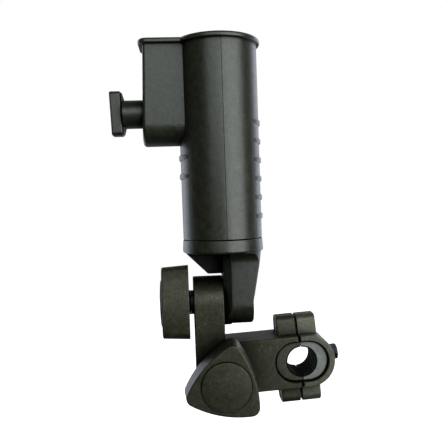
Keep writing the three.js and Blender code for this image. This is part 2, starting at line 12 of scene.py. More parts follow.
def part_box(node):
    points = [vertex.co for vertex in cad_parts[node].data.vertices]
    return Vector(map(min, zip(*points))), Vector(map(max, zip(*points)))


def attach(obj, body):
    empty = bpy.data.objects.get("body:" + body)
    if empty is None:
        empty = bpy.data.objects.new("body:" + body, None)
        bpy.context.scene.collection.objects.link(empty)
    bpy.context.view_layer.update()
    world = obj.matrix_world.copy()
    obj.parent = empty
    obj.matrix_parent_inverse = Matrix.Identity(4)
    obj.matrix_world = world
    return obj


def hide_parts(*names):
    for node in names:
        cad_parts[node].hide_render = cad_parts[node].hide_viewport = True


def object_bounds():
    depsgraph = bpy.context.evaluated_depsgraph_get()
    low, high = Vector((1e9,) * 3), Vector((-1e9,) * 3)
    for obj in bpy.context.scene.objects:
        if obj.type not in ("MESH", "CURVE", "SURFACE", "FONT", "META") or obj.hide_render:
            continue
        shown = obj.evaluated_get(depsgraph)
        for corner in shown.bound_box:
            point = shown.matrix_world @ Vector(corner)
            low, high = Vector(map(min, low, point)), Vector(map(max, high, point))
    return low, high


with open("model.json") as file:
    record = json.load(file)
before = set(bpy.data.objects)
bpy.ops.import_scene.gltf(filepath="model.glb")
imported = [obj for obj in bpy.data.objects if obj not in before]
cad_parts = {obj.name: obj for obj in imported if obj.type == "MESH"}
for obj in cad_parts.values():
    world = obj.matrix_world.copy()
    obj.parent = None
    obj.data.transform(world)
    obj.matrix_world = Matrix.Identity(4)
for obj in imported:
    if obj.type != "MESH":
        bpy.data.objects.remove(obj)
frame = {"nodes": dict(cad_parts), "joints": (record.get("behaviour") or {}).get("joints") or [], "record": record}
CAD_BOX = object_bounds()
MM = 0.001
X, Y, Z = Vector((1, 0, 0)), Vector((0, 1, 0)), Vector((0, 0, 1))

# ---- Dimensions, mostly the CAD's own --------------------------------
GAP = 0.3  # between two mouldings or a fastener and its seat
RUN = 0.12  # round a shaft in its hole
LAP = 0.5  # how far forms that are joined run into each other
PAST = 1.0  # how far a cutter runs past a face
ROUND = 120  # sides of a large round form
SMALL_ROUND = 56  # sides of a shaft or a hole
EDGE_STEPS = 4  # rings in a rounded edge

ARM_LENGTH, ARM_HALF_HEIGHT, ARM_HALF_DEPTH = 45.6, 14.9, 12.5
BORE_RADIUS, BORE_MOUTH, OVAL_RADIUS, OVAL_OFFSET = 8.2, 0.9, 11.7, 3.8
GROOVE_FIRST, GROOVE_PITCH, GROOVE_WIDTH, GROOVE_DEPTH, GROOVE_SLOPE = 2.2, 3.4, 1.3, 0.75, 0.15
JAW_END_OFFSET, SPLIT_FROM, SPLIT_TO, SLEEVE_RECESS = 4.2, -1.25, -0.05, 1.9
EAR_LEFT, EAR_RIGHT, EAR_TOP, EAR_FRONT, EAR_BACK, EAR_ROUND = -12.3, 10.9, 25.4, -5.5, 8.5, 4.0
EAR_LEAN_ABOVE, EAR_LEAN_BELOW, CLAMP_BOLT_HEIGHT = 2.0, -0.8, 19.3
CLAMP_BOLT_RADIUS, CLAMP_HEAD_RADIUS, CLAMP_HEAD, CLAMP_WASHER = 2.5, 4.25, 5.0, 0.8
CLAMP_NUT_ACROSS, CLAMP_NUT, SOCKET_ACROSS, SOCKET_DEPTH = 8.0, 4.0, 4.0, 2.2
SLEEVE_SCREW_ANGLE, SLEEVE_SCREW_RADIUS, SLEEVE_SCREW_ACROSS = 3.0, 1.9, 8.0
SLEEVE_SCREW_HEAD, SLEEVE_SCREW_BITE = 3.6, 3.0

TUBE_RADIUS, TUBE_BORE, TUBE_BOTTOM, TUBE_TOP = 22.0, 19.0, 35.5, 144.2
RIM_PROUD, RIM_HEIGHT, RIM_PAST_POCKET, RIM_POCKET_CORNER = 1.8, 2.8, 2.6, 5.0
POCKET_OUTER, POCKET_OUTER_AT_TOP, POCKET_HALF, POCKET_WALL = 42.0, 40.2, 11.2, 2.4
POCKET_BOTTOM, POCKET_CORNER, BOSS_INNER, BOSS_TOP = 87.5, 2.0, 34.0, 118.5
RIDGE_RADIUS, RIDGE_OFFSET, RIDGE_HEIGHT, RIDGE_PITCH = 19.4, 3.42, 4.6, 10.25
RIDGE_LOWEST, RIDGE_LEFT_LIFT = 11.8, 2.3
RIDGE_LOW_STEP, RIDGE_UP_STEP, RIDGE_FOOT = 0.9, 1.3, 1.4
RIDGE_ROWS_RIGHT, RIDGE_ROWS_LEFT = range(6), range(2, 4)
COLLAR_RADIUS, COLLAR_BOTTOM, COLLAR_ROUND, COLLAR_DRAFT = 22.6, 28.0, 1.4, 0.45
SPIGOT, SPIGOT_LEAD = 5.5, 0.6
FOOT_LEFT, FOOT_PLATE, FOOT_RIGHT, FOOT_RIGHT_AT_TOP, FOOT_RADIUS = -0.9, 4.2, 15.1, 20.2, 13.3
FOOT_CHAMFER_WIDTH, FOOT_CHAMFER_DEPTH, FOOT_FLARE = 4.4, 3.2, 6.0
FOOT_RECESS, FOOT_CORNER_WIDTH, FOOT_CORNER_HEIGHT, FOOT_SHOULDER = 0.6, 1.0, 3.5, 1.0
GUSSET_REACH, GUSSET_FLAT, GUSSET_BOTTOM, GUSSET_HALF, GUSSET_RISE = 20.5, 9.0, 15.8, 1.7, 0.8
PARTING_AT, PARTING_DEPTH, PARTING_WIDTH = FOOT_LEFT + FOOT_PLATE / 2, 0.22, 0.5

KNUCKLE_LEFT, KNUCKLE_RIGHT, KNUCKLE_FRONT, KNUCKLE_BACK = -17.65, -1.25, -14.5, -1.35
KNUCKLE_RADIUS, KNUCKLE_DISC = 14.5, 15.15
BOLT_RADIUS, BOLT_ACROSS, BOLT_HEAD, BOLT_END, BOLT_RECESS = 4.0, 13.0, 5.3, 12.5, 6.0
KNOB_HUB, KNOB_BACK, KNOB_FRONT = 1.6, 2.4, 17.3
KNOB_CORNER, KNOB_SIDE, KNOB_LOBE, KNOB_DRAFT = 21.6, 15.3, 4.5, 1.0
CAP_RADIUS, CAP_SEAT, CAP_DOME = 13.0, 13.6, 1.4
TILT_KNOB_TURN, SWING_KNOB_TURN = 72.0, 17.0
NUT_ACROSS, NUT_FROM = 13.0, 5.0
WASHER_RADIUS, WASHER_FROM, WASHER_TO, WASHER_SPREAD = 6.7, 0.3, 1.3, 0.28
HOLLOW_DEPTH, HOLLOW_HUB, HOLLOW_WALL, HOLLOW_LOBE, HOLLOW_RIB = 7.0, 10.2, 2.8, 3.5, 1.2

SCREW_HEIGHT, SCREW_RADIUS, SHANK_TO, PIN_RADIUS, PIN_TO = 105.5, 7.75, -33.0, 3.5, -27.4
WING_OUTER, WING_INNER, WING_SHOULDER, WING_HALF = -59.3, -53.0, -51.6, 12.2
WING_LEAN, WING_RAISE, WING_THICK, WING_WEB = 1.9, 0.4, 4.6, 3.2
SHOE_BACK, SHOE_FRONT, SHOE_HALF, SHOE_FLOOR, SHOE_TOP = -32.6, -24.0, 8.4, 99.5, 118.0
PAD_INSET, PAD_FRONT = 0.6, -17.5


# ---- Frames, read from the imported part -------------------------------
def middle(node):
    """The middle of a CAD node's box, in millimetres."""
    low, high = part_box(node)
    return (low + high) / (2 * MM)


def joint(name):
    return next(j for j in frame["joints"] if j["name"] == name)


ARM_AXIS = Vector(joint("jaw_slide")["axis"])
CLAMP = Matrix.Rotation(-math.atan2(ARM_AXIS.z, ARM_AXIS.x), 4, "Y")
TILT_AT = Vector(joint("tilt")["pos_m"]) / MM
SWING_AT = Vector(joint("swing")["pos_m"]) / MM
HOLDER_AT = Vector((middle("tube_base").x, TILT_AT.y, TILT_AT.z))
HOLDER = Matrix.Translation(HOLDER_AT)
PIVOT = SWING_AT - HOLDER_AT


def stack_frame(origin, across, up, outward, turn):
    """The frame of a knob's stack: its own Z points outwards, away from the face that it presses on."""
    basis = Matrix((across, up, outward)).transposed().to_4x4()
    return Matrix.Translation(origin) @ basis @ Matrix.Rotation(math.radians(turn), 4, "Z")


TILT_FACE = HOLDER_AT + KNUCKLE_LEFT * X
SWING_FACE = HOLDER_AT + Vector((PIVOT.x, KNUCKLE_FRONT, PIVOT.z))


# ---- Outlines: lists of 2-D points, counter-clockwise ----------------
NEARLY_STRAIGHT = math.radians(89)  # half the angle of a corner too flat to round


def arc(centre, radius, start, end, steps):
    turns = [math.radians(start + (end - start) * k / steps) for k in range(steps + 1)]
    return [Vector(centre) + radius * Vector((math.cos(t), math.sin(t))) for t in turns]


def circle(radius, centre=(0, 0), sides=SMALL_ROUND):
    return arc(centre, radius, 0, 360, sides)[:-1]


def hexagon(across, centre=(0, 0)):
    return circle(across / math.sqrt(3), centre, 6)


def rounded(corners, steps=5):
    """An outline through (across, up, radius) corners, each rounded by its radius."""
    points = []
    for i, (across, up, radius) in enumerate(corners):
        here = Vector((across, up))
        before = (Vector(corners[i - 1][:2]) - here).normalized()
        after = (Vector(corners[(i + 1) % len(corners)][:2]) - here).normalized()
        half = before.angle(after) / 2
        if radius == 0 or half > NEARLY_STRAIGHT:
            points.append(here)
            continue
        hub = here + (before + after).normalized() * radius / math.sin(half)
        first = here + before * radius / math.tan(half) - hub
        last = here + after * radius / math.tan(half) - hub
        turn = math.atan2(first.cross(last), first.dot(last))
        for k in range(steps + 1):
            points.append(hub + Matrix.Rotation(turn * k / steps, 2) @ first)
    return points


def rectangle(left, right, bottom, top, radius):
    corners = [(left, bottom), (right, bottom), (right, top), (left, top)]
    return rounded([(across, up, radius) for across, up in corners])


def tongue(half, round_height, top, steps=36):
    """An upright slab's outline with a half-round lower end."""
    return arc((0, round_height), half, 180, 360, steps) + [Vector((half, top)), Vector((-half, top))]


def stadium(radius, offset, steps=40):
    """An oval of two half circles and the straight sides between them."""
    return arc((offset, 0), radius, -90, 90, steps) + arc((-offset, 0), radius, 90, 270, steps)


def tri_lobe(corner, side, lobe, steps=14):
    """A convex-sided triangle with round corners; its first side faces along the first axis."""
    lobe_distance, side_reach = corner - lobe, side - lobe
    swing = (lobe_distance**2 - side_reach**2) / (2 * side_reach - lobe_distance)
    half_height = lobe_distance * math.sin(math.radians(60))
    half_span = math.degrees(math.atan2(half_height, lobe_distance / 2 + swing))
    points = []
    for facing in (0, 120, 240):
        away = Matrix.Rotation(math.radians(facing), 2) @ Vector((-swing, 0))
        points += arc(away, swing + side, facing - half_span, facing + half_span, steps)[:-1]
        hub = Matrix.Rotation(math.radians(facing + 60), 2) @ Vector((lobe_distance, 0))
        points += arc(hub, lobe, facing + half_span, facing + 120 - half_span, steps)[:-1]
    return points


def inset(points, distance):
    """An outline moved inwards by a distance, corner by corner."""
    corners = []
    for i, here in enumerate(points):
        before = (here - points[i - 1]).normalized()
        after = (points[(i + 1) % len(points)] - here).normalized()
        inward = before.orthogonal() + after.orthogonal()
        corners.append(here + inward * distance / (1 + before.dot(after)))
    return corners


# ---- Solids: meshes in millimetres -----------------------------------
def lay(axis, across, up, along):
    """A point of an axis's drawing plane, set at a place along that axis."""
    return {
        "x": Vector((along, across, up)),
        "y": Vector((across, along, up)),
        "z": Vector((across, up, along)),
    }[axis]


def to_mesh(form, name="form"):
    """A clean mesh from a bmesh, which it frees."""
    bmesh.ops.remove_doubles(form, verts=form.verts, dist=1e-5)
    bmesh.ops.recalc_face_normals(form, faces=form.faces)
    mesh = bpy.data.meshes.new(name)
    form.to_mesh(mesh)
    form.free()
    return mesh


def loft(rings):
    """A closed solid through rings of equal counts; a ring of one point is a pole."""
    form = bmesh.new()
    rows = [[form.verts.new(point) for point in ring] for ring in rings]
    for low, high in zip(rows, rows[1:]):
        count = max(len(low), len(high))
        for i in range(count):
            j = (i + 1) % count
            if len(low) == 1:
                form.faces.new((low[0], high[j], high[i]))
            elif len(high) == 1:
                form.faces.new((low[i], low[j], high[0]))
            else:
                form.faces.new((low[i], low[j], high[j], high[i]))
    for row in (rows[0], rows[-1]):
        if len(row) > 2:
            form.faces.new(row)
    return to_mesh(form)


def swept(axis, outline, levels):
    """A solid through copies of an outline, one for each (inset, along) level."""
    return loft([[lay(axis, *point, along) for point in inset(outline, shrink)] for shrink, along in levels])


def edge_steps(edge):
    """(inset, depth) pairs round a quarter of a circle, from an end face to the side."""
    if edge == 0:
        return [(0, 0)]
    turns = [math.pi / 2 * k / EDGE_STEPS for k in range(EDGE_STEPS + 1)]
    return [(edge * (1 - math.sin(t)), edge * (1 - math.cos(t))) for t in turns]


def slab(axis, outline, low, high, edge=0.5, high_edge=None):
    """What an outline sweeps along an axis, with the edges of both end faces rounded."""
    top_edge = edge if high_edge is None else high_edge
    levels = [(shrink, low + depth) for shrink, depth in edge_steps(edge)]
    levels += [(shrink, high - depth) for shrink, depth in reversed(edge_steps(top_edge))]
    return swept(axis, outline, levels)


def opening(axis, outline, low, high, flare=0.4):
    """A cutter for a hole from face to face, flared so that it breaks both edges."""
    levels = [(-flare, low - PAST), (-flare, low), (0, low + flare)]
    levels += [(0, high - flare), (-flare, high), (-flare, high + PAST)]
    return swept(axis, outline, levels)


def turned(axis, corners, centre=(0, 0), sides=ROUND):
    """A solid of revolution from (radius, along, rounding) corners that run from axis to axis."""
    rings = []
    for radius, along in rounded(corners, EDGE_STEPS):
        if radius < 1e-6:
            rings.append([lay(axis, *centre, along)])
        else:
            rings.append([lay(axis, *point, along) for point in circle(radius, centre, sides)])
    return loft(rings)


def bar(axis, radius, low, high, centre=(0, 0), edge=0.0, sides=SMALL_ROUND):
    """A round bar along an axis, with both ends' edges rounded."""
    corners = [(0, low, 0), (radius, low, edge), (radius, high, edge), (0, high, 0)]
    return turned(axis, corners, centre, sides)


def put_in_scene(name, data):
    made = bpy.data.objects.new(name, data)
    bpy.context.scene.collection.objects.link(made)
    return made


def solve(operation, first, others):
    """A Boolean of one solid with others; the meshes it was given are used up."""
    base = put_in_scene("base", first)
    tools = [put_in_scene("tool", other) for other in others]
    for tool in tools:
        step = base.modifiers.new("solve", "BOOLEAN")
        step.operation, step.object, step.solver = operation, tool, "MANIFOLD"
    bpy.context.view_layer.update()
    graph = bpy.context.evaluated_depsgraph_get()
    result = bpy.data.meshes.new_from_object(base.evaluated_get(graph))
    for used in [base, *tools]:
        mesh = used.data
        bpy.data.objects.remove(used)
        bpy.data.meshes.remove(mesh)
    return result


def join(first, *others):
    return solve("UNION", first, others)


def cut(first, *others):
    return solve("DIFFERENCE", first, others)


def common(first, *others):
    return solve("INTERSECT", first, others)


def moved(mesh, matrix):
    mesh.transform(matrix)
    return mesh


def hex_block(axis, across, low, high, centre=(0, 0), chamfer=0.5):
    """A hexagonal block with both ends' corners turned down, as on a nut or a bolt head."""
    reach = across / math.sqrt(3)
    corners = [(0, low, 0), (reach - 2 * chamfer, low, 0), (reach, low + chamfer, 0)]
    corners += [(reach, high - chamfer, 0), (reach - 2 * chamfer, high, 0), (0, high, 0)]
    block = slab(axis, hexagon(across, centre), low, high, 0)
    return common(block, turned(axis, corners, centre, SMALL_ROUND))


# ---- Materials -------------------------------------------------------
class Nodes:
    """A short way to write the nodes and links of a material, or of the world."""

    def __init__(self, owner):
        owner.use_nodes = True
        self.tree = owner.node_tree
        self.shader = self.tree.nodes.get("Principled BSDF")
        self.place = self.add("ShaderNodeTexCoord").outputs["Object"]

    def add(self, kind, inputs=None, **settings):
        node = self.tree.nodes.new(kind)
        for key, value in settings.items():
            setattr(node, key, value)
        for key, value in (inputs or {}).items():
            self.put(node.inputs[key], value)
        return node

    def put(self, socket, value):
        if isinstance(value, bpy.types.NodeSocket):
            self.tree.links.new(value, socket)
        else:
            socket.default_value = value

    def noise(self, scale, detail, roughness, stretch=(1, 1, 1), offset=(0, 0, 0)):
        """Noise over the piece; scale is in cycles a metre."""
        change = {"Vector": self.place, "Location": offset, "Scale": stretch}
        place = self.add("ShaderNodeMapping", change).outputs["Vector"]
        inputs = {"Vector": place, "Scale": scale, "Detail": detail, "Roughness": roughness}
        return self.add("ShaderNodeTexNoise", inputs).outputs["Fac"]

    def ramp(self, value, low, high, to_low=0.0, to_high=1.0, step="LINEAR"):
        """A value's range from low to high, mapped on to another range and clamped to it."""
        inputs = {"Value": value, "From Min": low, "From Max": high, "To Min": to_low, "To Max": to_high}
        return self.add("ShaderNodeMapRange", inputs, interpolation_type=step).outputs["Result"]

    def mix(self, factor, first, second, blend="MIX"):
        inputs = {"Factor": factor, "A": first, "B": second}
        return self.add("ShaderNodeMix", inputs, data_type="RGBA", blend_type=blend).outputs["Result"]

    def math(self, operation, first, second=0.0):
        return self.add("ShaderNodeMath", {0: first, 1: second}, operation=operation).outputs["Value"]

    def edges(self, radius):
        """1 along sharp convex and concave edges, 0 on open faces."""
        soft = self.add("ShaderNodeBevel", {"Radius": radius}, samples=4).outputs["Normal"]
        true = self.add("ShaderNodeNewGeometry").outputs["Normal"]
        same = self.add("ShaderNodeVectorMath", {0: soft, 1: true}, operation="DOT_PRODUCT")
        return self.ramp(same.outputs["Value"], 0.995, 0.9)

    def bump(self, height, strength, distance):
        node = self.add("ShaderNodeBump", {"Height": height, "Strength": strength, "Distance": distance})
        self.put(self.shader.inputs["Normal"], node.outputs["Normal"])


def rgba(red, green, blue):
    return (red, green, blue, 1.0)


def paler(colour, gain, lift):
    return rgba(*[min(1.0, channel * gain + lift) for channel in colour[:3]])


NICK_COLOUR = rgba(0.13, 0.13, 0.12)
PAINTED_SHADE_COLOUR = rgba(0.001, 0.001, 0.001)
PAINTED_SHADE_REACH = 0.022  # how far off a wall the painted shade of a recess reaches


def plastic_colour(nodes, clouds, dark, light):
    """Clouds of two near-blacks under a slow drift from a warm to a cool tint."""
    colour = nodes.mix(nodes.ramp(clouds, 0.3, 0.7), dark, light)
    drift = nodes.noise(38, 2.0, 0.5, offset=(3.1, 1.7, 0.4))
    tint = nodes.mix(nodes.ramp(drift, 0.35, 0.65), rgba(1.0, 1.04, 0.94), rgba(0.95, 1.0, 1.08))
    return nodes.mix(1.0, colour, tint, "MULTIPLY")


def plastic_scuffs(nodes):
    """Upright streaks, only where a slower noise puts a patch of them."""
    lines = nodes.noise(210, 2.0, 0.5, stretch=(3.0, 3.0, 0.8), offset=(0.7, 0.2, 0.1))
    patches = nodes.noise(55, 2.0, 0.5, offset=(5.2, 0.3, 2.2))
    return nodes.math("MULTIPLY", nodes.ramp(lines, 0.64, 0.74), nodes.ramp(patches, 0.52, 0.68))


def plastic_wear(nodes, clouds, scuffs):
    """Where the surface has gone pale: its rubbed edges, its scuffs and fine specks."""
    specks = nodes.ramp(nodes.noise(1300, 1.0, 0.5, offset=(0.4, 7.2, 1.9)), 0.64, 0.74, 0.0, 0.6)
    marks = nodes.math("MAXIMUM", scuffs, specks)
    rubbed = nodes.math("MULTIPLY", nodes.edges(0.0006), nodes.ramp(clouds, 0.35, 0.75, 0.25, 1.0))
    return nodes.math("MAXIMUM", rubbed, marks)


def moulded_plastic(name, dark, light, sheen, rough=0.38, shine=0.38, grain=0.35, wear=0.6, patchy=0.24):
    """Satin moulded plastic, marked by use and with painted shade in its recesses: grain is its moulded texture,
    patchy how uneven its shine.
    """
    material = bpy.data.materials.new(name)
    nodes = Nodes(material)
    inputs = nodes.shader.inputs
    clouds = nodes.noise(300, 5.0, 0.68)
    scuffs = plastic_scuffs(nodes)
    worn = nodes.math("MULTIPLY", plastic_wear(nodes, clouds, scuffs), wear)
    colour = nodes.mix(worn, plastic_colour(nodes, clouds, dark, light), paler(light, 2.6, 0.01))
    nicks = nodes.ramp(nodes.noise(900, 0.0, 0.5, offset=(8.8, 1.2, 4.6)), 0.885, 0.905)
    colour = nodes.mix(nicks, colour, NICK_COLOUR)
    # Painted shade: ambient occlusion darkens the colour to near-black in recesses, creases and under overhangs.
    outside_painted_shade = nodes.add("ShaderNodeAmbientOcclusion", {"Distance": PAINTED_SHADE_REACH}, samples=8).outputs["AO"]
    outside_painted_shade = nodes.ramp(outside_painted_shade, 0.48, 0.94, 0.04, 1.0)
    nodes.put(inputs["Base Color"], nodes.mix(outside_painted_shade, PAINTED_SHADE_COLOUR, colour))
    finish = nodes.noise(420, 3.0, 0.6, offset=(1.3, 4.1, 0.9))
    satin = nodes.ramp(finish, 0.3, 0.7, rough - 0.05, rough + 0.06)
    nodes.put(inputs["Roughness"], nodes.math("ADD", satin, nodes.math("MULTIPLY", scuffs, 0.12)))
    patches = nodes.noise(700, 4.0, 0.6, offset=(6.1, 2.4, 3.3))
    mottle = nodes.ramp(patches, 0.3, 0.7, (1 - patchy) * shine, (1 + patchy) * shine)
    inputs["Specular IOR Level"].default_value = shine
    # The painted shade damps the shine in recesses too.
    nodes.put(inputs["Specular IOR Level"], nodes.math("MULTIPLY", outside_painted_shade, mottle))
    nodes.put(inputs["Specular Tint"], sheen)
    texture = nodes.noise(1500, 3.0, 0.7)
    swell = nodes.noise(160, 2.0, 0.5, offset=(2.2, 2.9, 0.2))
    nodes.bump(nodes.math("ADD", texture, nodes.math("MULTIPLY", swell, 1.5)), grain, 0.0002)
    return material


# Near-black painted shade for a sleeve's bore and its grooves.
PAINTED_BORE_SHADE = rgba(0.002, 0.002, 0.0016)


def paint_bore_shade(material):
    """Paints shade into a sleeve's bore: darkens the bore, blackens its grooves and damps their shine."""
    nodes = Nodes(material)
    split = nodes.add("ShaderNodeSeparateXYZ", {0: nodes.place})
    flat = nodes.add("ShaderNodeCombineXYZ", {"X": split.outputs["X"], "Z": split.outputs["Z"]})
    radius = nodes.add("ShaderNodeVectorMath", {0: flat.outputs[0]}, operation="LENGTH").outputs["Value"]
    land_end, groove_end = BORE_RADIUS + 0.1, BORE_RADIUS + GROOVE_DEPTH + 0.05
    land = nodes.ramp(radius, land_end * MM, (land_end + 0.2) * MM, 0.22, 0.02)
    face = nodes.ramp(radius, groove_end * MM, (groove_end + 0.2) * MM)
    outside_bore_shade = nodes.math("MAXIMUM", land, face)
    base, shine = nodes.shader.inputs["Base Color"], nodes.shader.inputs["Specular IOR Level"]
    # Painted shade: the bore goes dark and the grooves near-black, and their shine is damped to match.
    nodes.put(base, nodes.mix(outside_bore_shade, PAINTED_BORE_SHADE, base.links[0].from_socket))
    nodes.put(shine, nodes.math("MULTIPLY", outside_bore_shade, shine.links[0].from_socket))
    return material


def metal(name, dark, light, rough, wear=0.7):
    """Plated or blackened steel, or brass: cloudy plating, turning marks and bright edges."""
    material = bpy.data.materials.new(name)
    nodes = Nodes(material)
    clouds = nodes.noise(260, 4.0, 0.6)
    colour = nodes.mix(nodes.ramp(clouds, 0.3, 0.7), dark, light)
    rubbed = nodes.math("MULTIPLY", nodes.edges(0.0004), wear)
    nodes.put(nodes.shader.inputs["Base Color"], nodes.mix(rubbed, colour, paler(light, 1.6, 0.02)))
    nodes.put(nodes.shader.inputs["Roughness"], nodes.ramp(clouds, 0.25, 0.75, rough - 0.08, rough + 0.1))
    nodes.shader.inputs["Metallic"].default_value = 1.0
    nodes.bump(nodes.noise(1900, 2.0, 0.6), 0.2, 0.00003)
    return material


def rubber(name):
    """Dull black rubber with open pores and dust along its edges."""
    material = bpy.data.materials.new(name)
    nodes = Nodes(material)
    clouds = nodes.noise(180, 4.0, 0.6)
    colour = nodes.mix(nodes.ramp(clouds, 0.3, 0.7), rgba(0.011, 0.011, 0.012), rgba(0.024, 0.024, 0.025))
    dusty = nodes.math("MULTIPLY", nodes.edges(0.0005), 0.35)
    nodes.put(nodes.shader.inputs["Base Color"], nodes.mix(dusty, colour, rgba(0.07, 0.07, 0.068)))
    nodes.put(nodes.shader.inputs["Roughness"], nodes.ramp(clouds, 0.3, 0.7, 0.78, 0.92))
    nodes.bump(nodes.noise(3200, 2.0, 0.7), 0.4, 0.00005)
    return material


HOUSING_SHEEN, FITTING_SHEEN = rgba(0.95, 1.0, 0.99), rgba(0.98, 1.0, 0.80)
MATERIALS = {  # the CAD's slots, with lighter, shinier copies of two of them for the jaw and its sleeve: painted light, for how their faces catch the lamps
    "housing": moulded_plastic(
        "housing", rgba(0.0040, 0.0042, 0.0020), rgba(0.014, 0.015, 0.009), HOUSING_SHEEN,
        rough=0.34, shine=0.56, grain=0.2, wear=0.5, patchy=0.1,
    ),
    "fitting": moulded_plastic(
        "fitting", rgba(0.0045, 0.0046, 0.0020), rgba(0.017, 0.018, 0.010), FITTING_SHEEN,
        rough=0.41, wear=0.85, patchy=0.32,
    ),
    # Painted light: a lighter, shinier copy of the fitting finish, for the jaw's faces.
    "fitting_painted_lighter": moulded_plastic(
        "fitting_painted_lighter", rgba(0.014, 0.015, 0.010), rgba(0.036, 0.038, 0.029), FITTING_SHEEN,
        rough=0.41, shine=0.6, wear=0.85, patchy=0.32,
    ),
    "sleeve": paint_bore_shade(
        moulded_plastic("sleeve", rgba(0.010, 0.011, 0.007), rgba(0.026, 0.028, 0.020), FITTING_SHEEN)
    ),
    # Painted light: a lighter, shinier copy of the sleeve finish, for the moving sleeve.
    "sleeve_painted_lighter": paint_bore_shade(
        moulded_plastic(
            "sleeve_painted_lighter", rgba(0.070, 0.073, 0.066), rgba(0.125, 0.130, 0.120), HOUSING_SHEEN,
            shine=0.72,
        )
    ),
    "rubber": rubber("rubber"),
    "zinc": metal("zinc", rgba(0.38, 0.39, 0.41), rgba(0.58, 0.59, 0.60), 0.36),
    "black_steel": metal("black_steel", rgba(0.020, 0.021, 0.023), rgba(0.045, 0.046, 0.05), 0.5, 0.15),
    "brass": metal("brass", rgba(0.50, 0.34, 0.12), rgba(0.68, 0.48, 0.20), 0.34),
}


# ---- Pieces ----------------------------------------------------------
BODY_OF = {
    node: body for body, nodes in frame["record"]["behaviour"]["bodies"].items() for node in nodes
}
SHARP = math.radians(32)  # an edge bent by more is shaded sharp


def piece(name, mesh, slot, node, place, finish=None):
    """Puts a finished solid in the scene in place of a CAD node, riding on the node's body."""
    mesh.transform(Matrix.Scale(MM, 4) @ place)
    mesh.name = name
    form = bmesh.new()
    form.from_mesh(mesh)
    bmesh.ops.remove_doubles(form, verts=form.verts, dist=2e-6)
    bmesh.ops.dissolve_degenerate(form, dist=1e-6, edges=form.edges)
    form.to_mesh(mesh)
    form.free()
    mesh.shade_smooth()
    mesh.set_sharp_from_angle(angle=SHARP)
    mesh.materials.clear()
    mesh.materials.append(MATERIALS[finish or slot])
    made = put_in_scene(name, mesh)
    shading = made.modifiers.new("weighted_normals", "WEIGHTED_NORMAL")
    shading.keep_sharp = True
    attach(made, BODY_OF[node])
    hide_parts(node)


# ---- Tube, pocket and base -------------------------------------------
def pocket_body(shrink, top, edge):
    """The pocket's outer form, or with a shrink its hollow; its outer wall drafts in upwards."""
    half = POCKET_HALF - shrink
    outline = tongue(half, POCKET_BOTTOM + POCKET_HALF, top)
    mesh = slab("x", outline, shrink - POCKET_OUTER, 0, edge, 0)
    draft = 1 - POCKET_OUTER_AT_TOP / POCKET_OUTER
    for vertex in mesh.vertices:
        climb = (vertex.co.z - POCKET_BOTTOM) / (TUBE_TOP - POCKET_BOTTOM)
        vertex.co.x *= 1 - draft * climb
    return mesh


def grip_ridge(side, height):
    """A flat ring set off to one side of the tube, so that it stands proud as a crescent."""
    half, foot = RIDGE_HEIGHT / 2, RIDGE_RADIUS - RIDGE_FOOT
    corners = [(0, height - half, 0), (foot, height - half, 0.4)]
    corners += [(RIDGE_RADIUS, height - RIDGE_LOW_STEP, 0.8), (RIDGE_RADIUS, height + RIDGE_UP_STEP, 0.5)]
    corners += [(foot, height + half, 0.3), (0, height + half, 0)]
    return turned("z", corners, (side * RIDGE_OFFSET, 0))


def parting_grooves(radius, low, high):
    """Cutters for the mould's parting line down the front and the back of a round form."""
    reach = math.sqrt(radius**2 - PARTING_AT**2)
    tip, base = reach - PARTING_DEPTH, reach + 0.2
    left, right = PARTING_AT - PARTING_WIDTH / 2, PARTING_AT + PARTING_WIDTH / 2
    grooves = []
    for side in (-1, 1):
        outline = [(PARTING_AT, side * tip), (left, side * base), (right, side * base)]
        grooves.append(slab("z", [Vector(corner) for corner in outline], low, high, 0))
    return grooves


def tube_outside():
    rim_bottom, rim_radius = TUBE_TOP - RIM_HEIGHT, TUBE_RADIUS + RIM_PROUD
    shell = turned(
        "z",
        [
            (0, TUBE_BOTTOM, 0),
            (TUBE_RADIUS, TUBE_BOTTOM, 0.4),
            (TUBE_RADIUS, rim_bottom, 0.25),
            (rim_radius, rim_bottom, 0.7),
            (rim_radius, TUBE_TOP, 1.3),
            (0, TUBE_TOP, 0),
        ],
    )
    rim_half = POCKET_HALF + RIM_PROUD
    rim_left = -POCKET_OUTER_AT_TOP - RIM_PAST_POCKET
    rim_plan = rectangle(rim_left, POCKET_CORNER, -rim_half, rim_half, RIM_POCKET_CORNER)
    rim = slab("z", rim_plan, rim_bottom, TUBE_TOP, 0.7, 1.3)
    lowest = TUBE_BOTTOM + RIDGE_LOWEST
    right = [grip_ridge(1, lowest + row * RIDGE_PITCH) for row in RIDGE_ROWS_RIGHT]
    left = [grip_ridge(-1, lowest + RIDGE_LEFT_LIFT + row * RIDGE_PITCH) for row in RIDGE_ROWS_LEFT]
    return join(shell, pocket_body(0, TUBE_TOP - LAP, POCKET_CORNER), rim, *right, *left)


def screw_flare():
    """The cutter that eases the thumb screw's hole where it comes out of the pocket."""
    drafted, depth, widening = 0.4, 0.9, 1.4
    face = POCKET_OUTER - drafted * (POCKET_OUTER - POCKET_OUTER_AT_TOP)
    outer, inner = -face - PAST, depth - face
    corners = [(0, outer, 0), (SCREW_RADIUS + widening, outer, 0)]
    corners += [(SCREW_RADIUS + RUN, inner, 0), (0, inner, 0)]
    return turned("x", corners, (0, SCREW_HEIGHT), SMALL_ROUND)


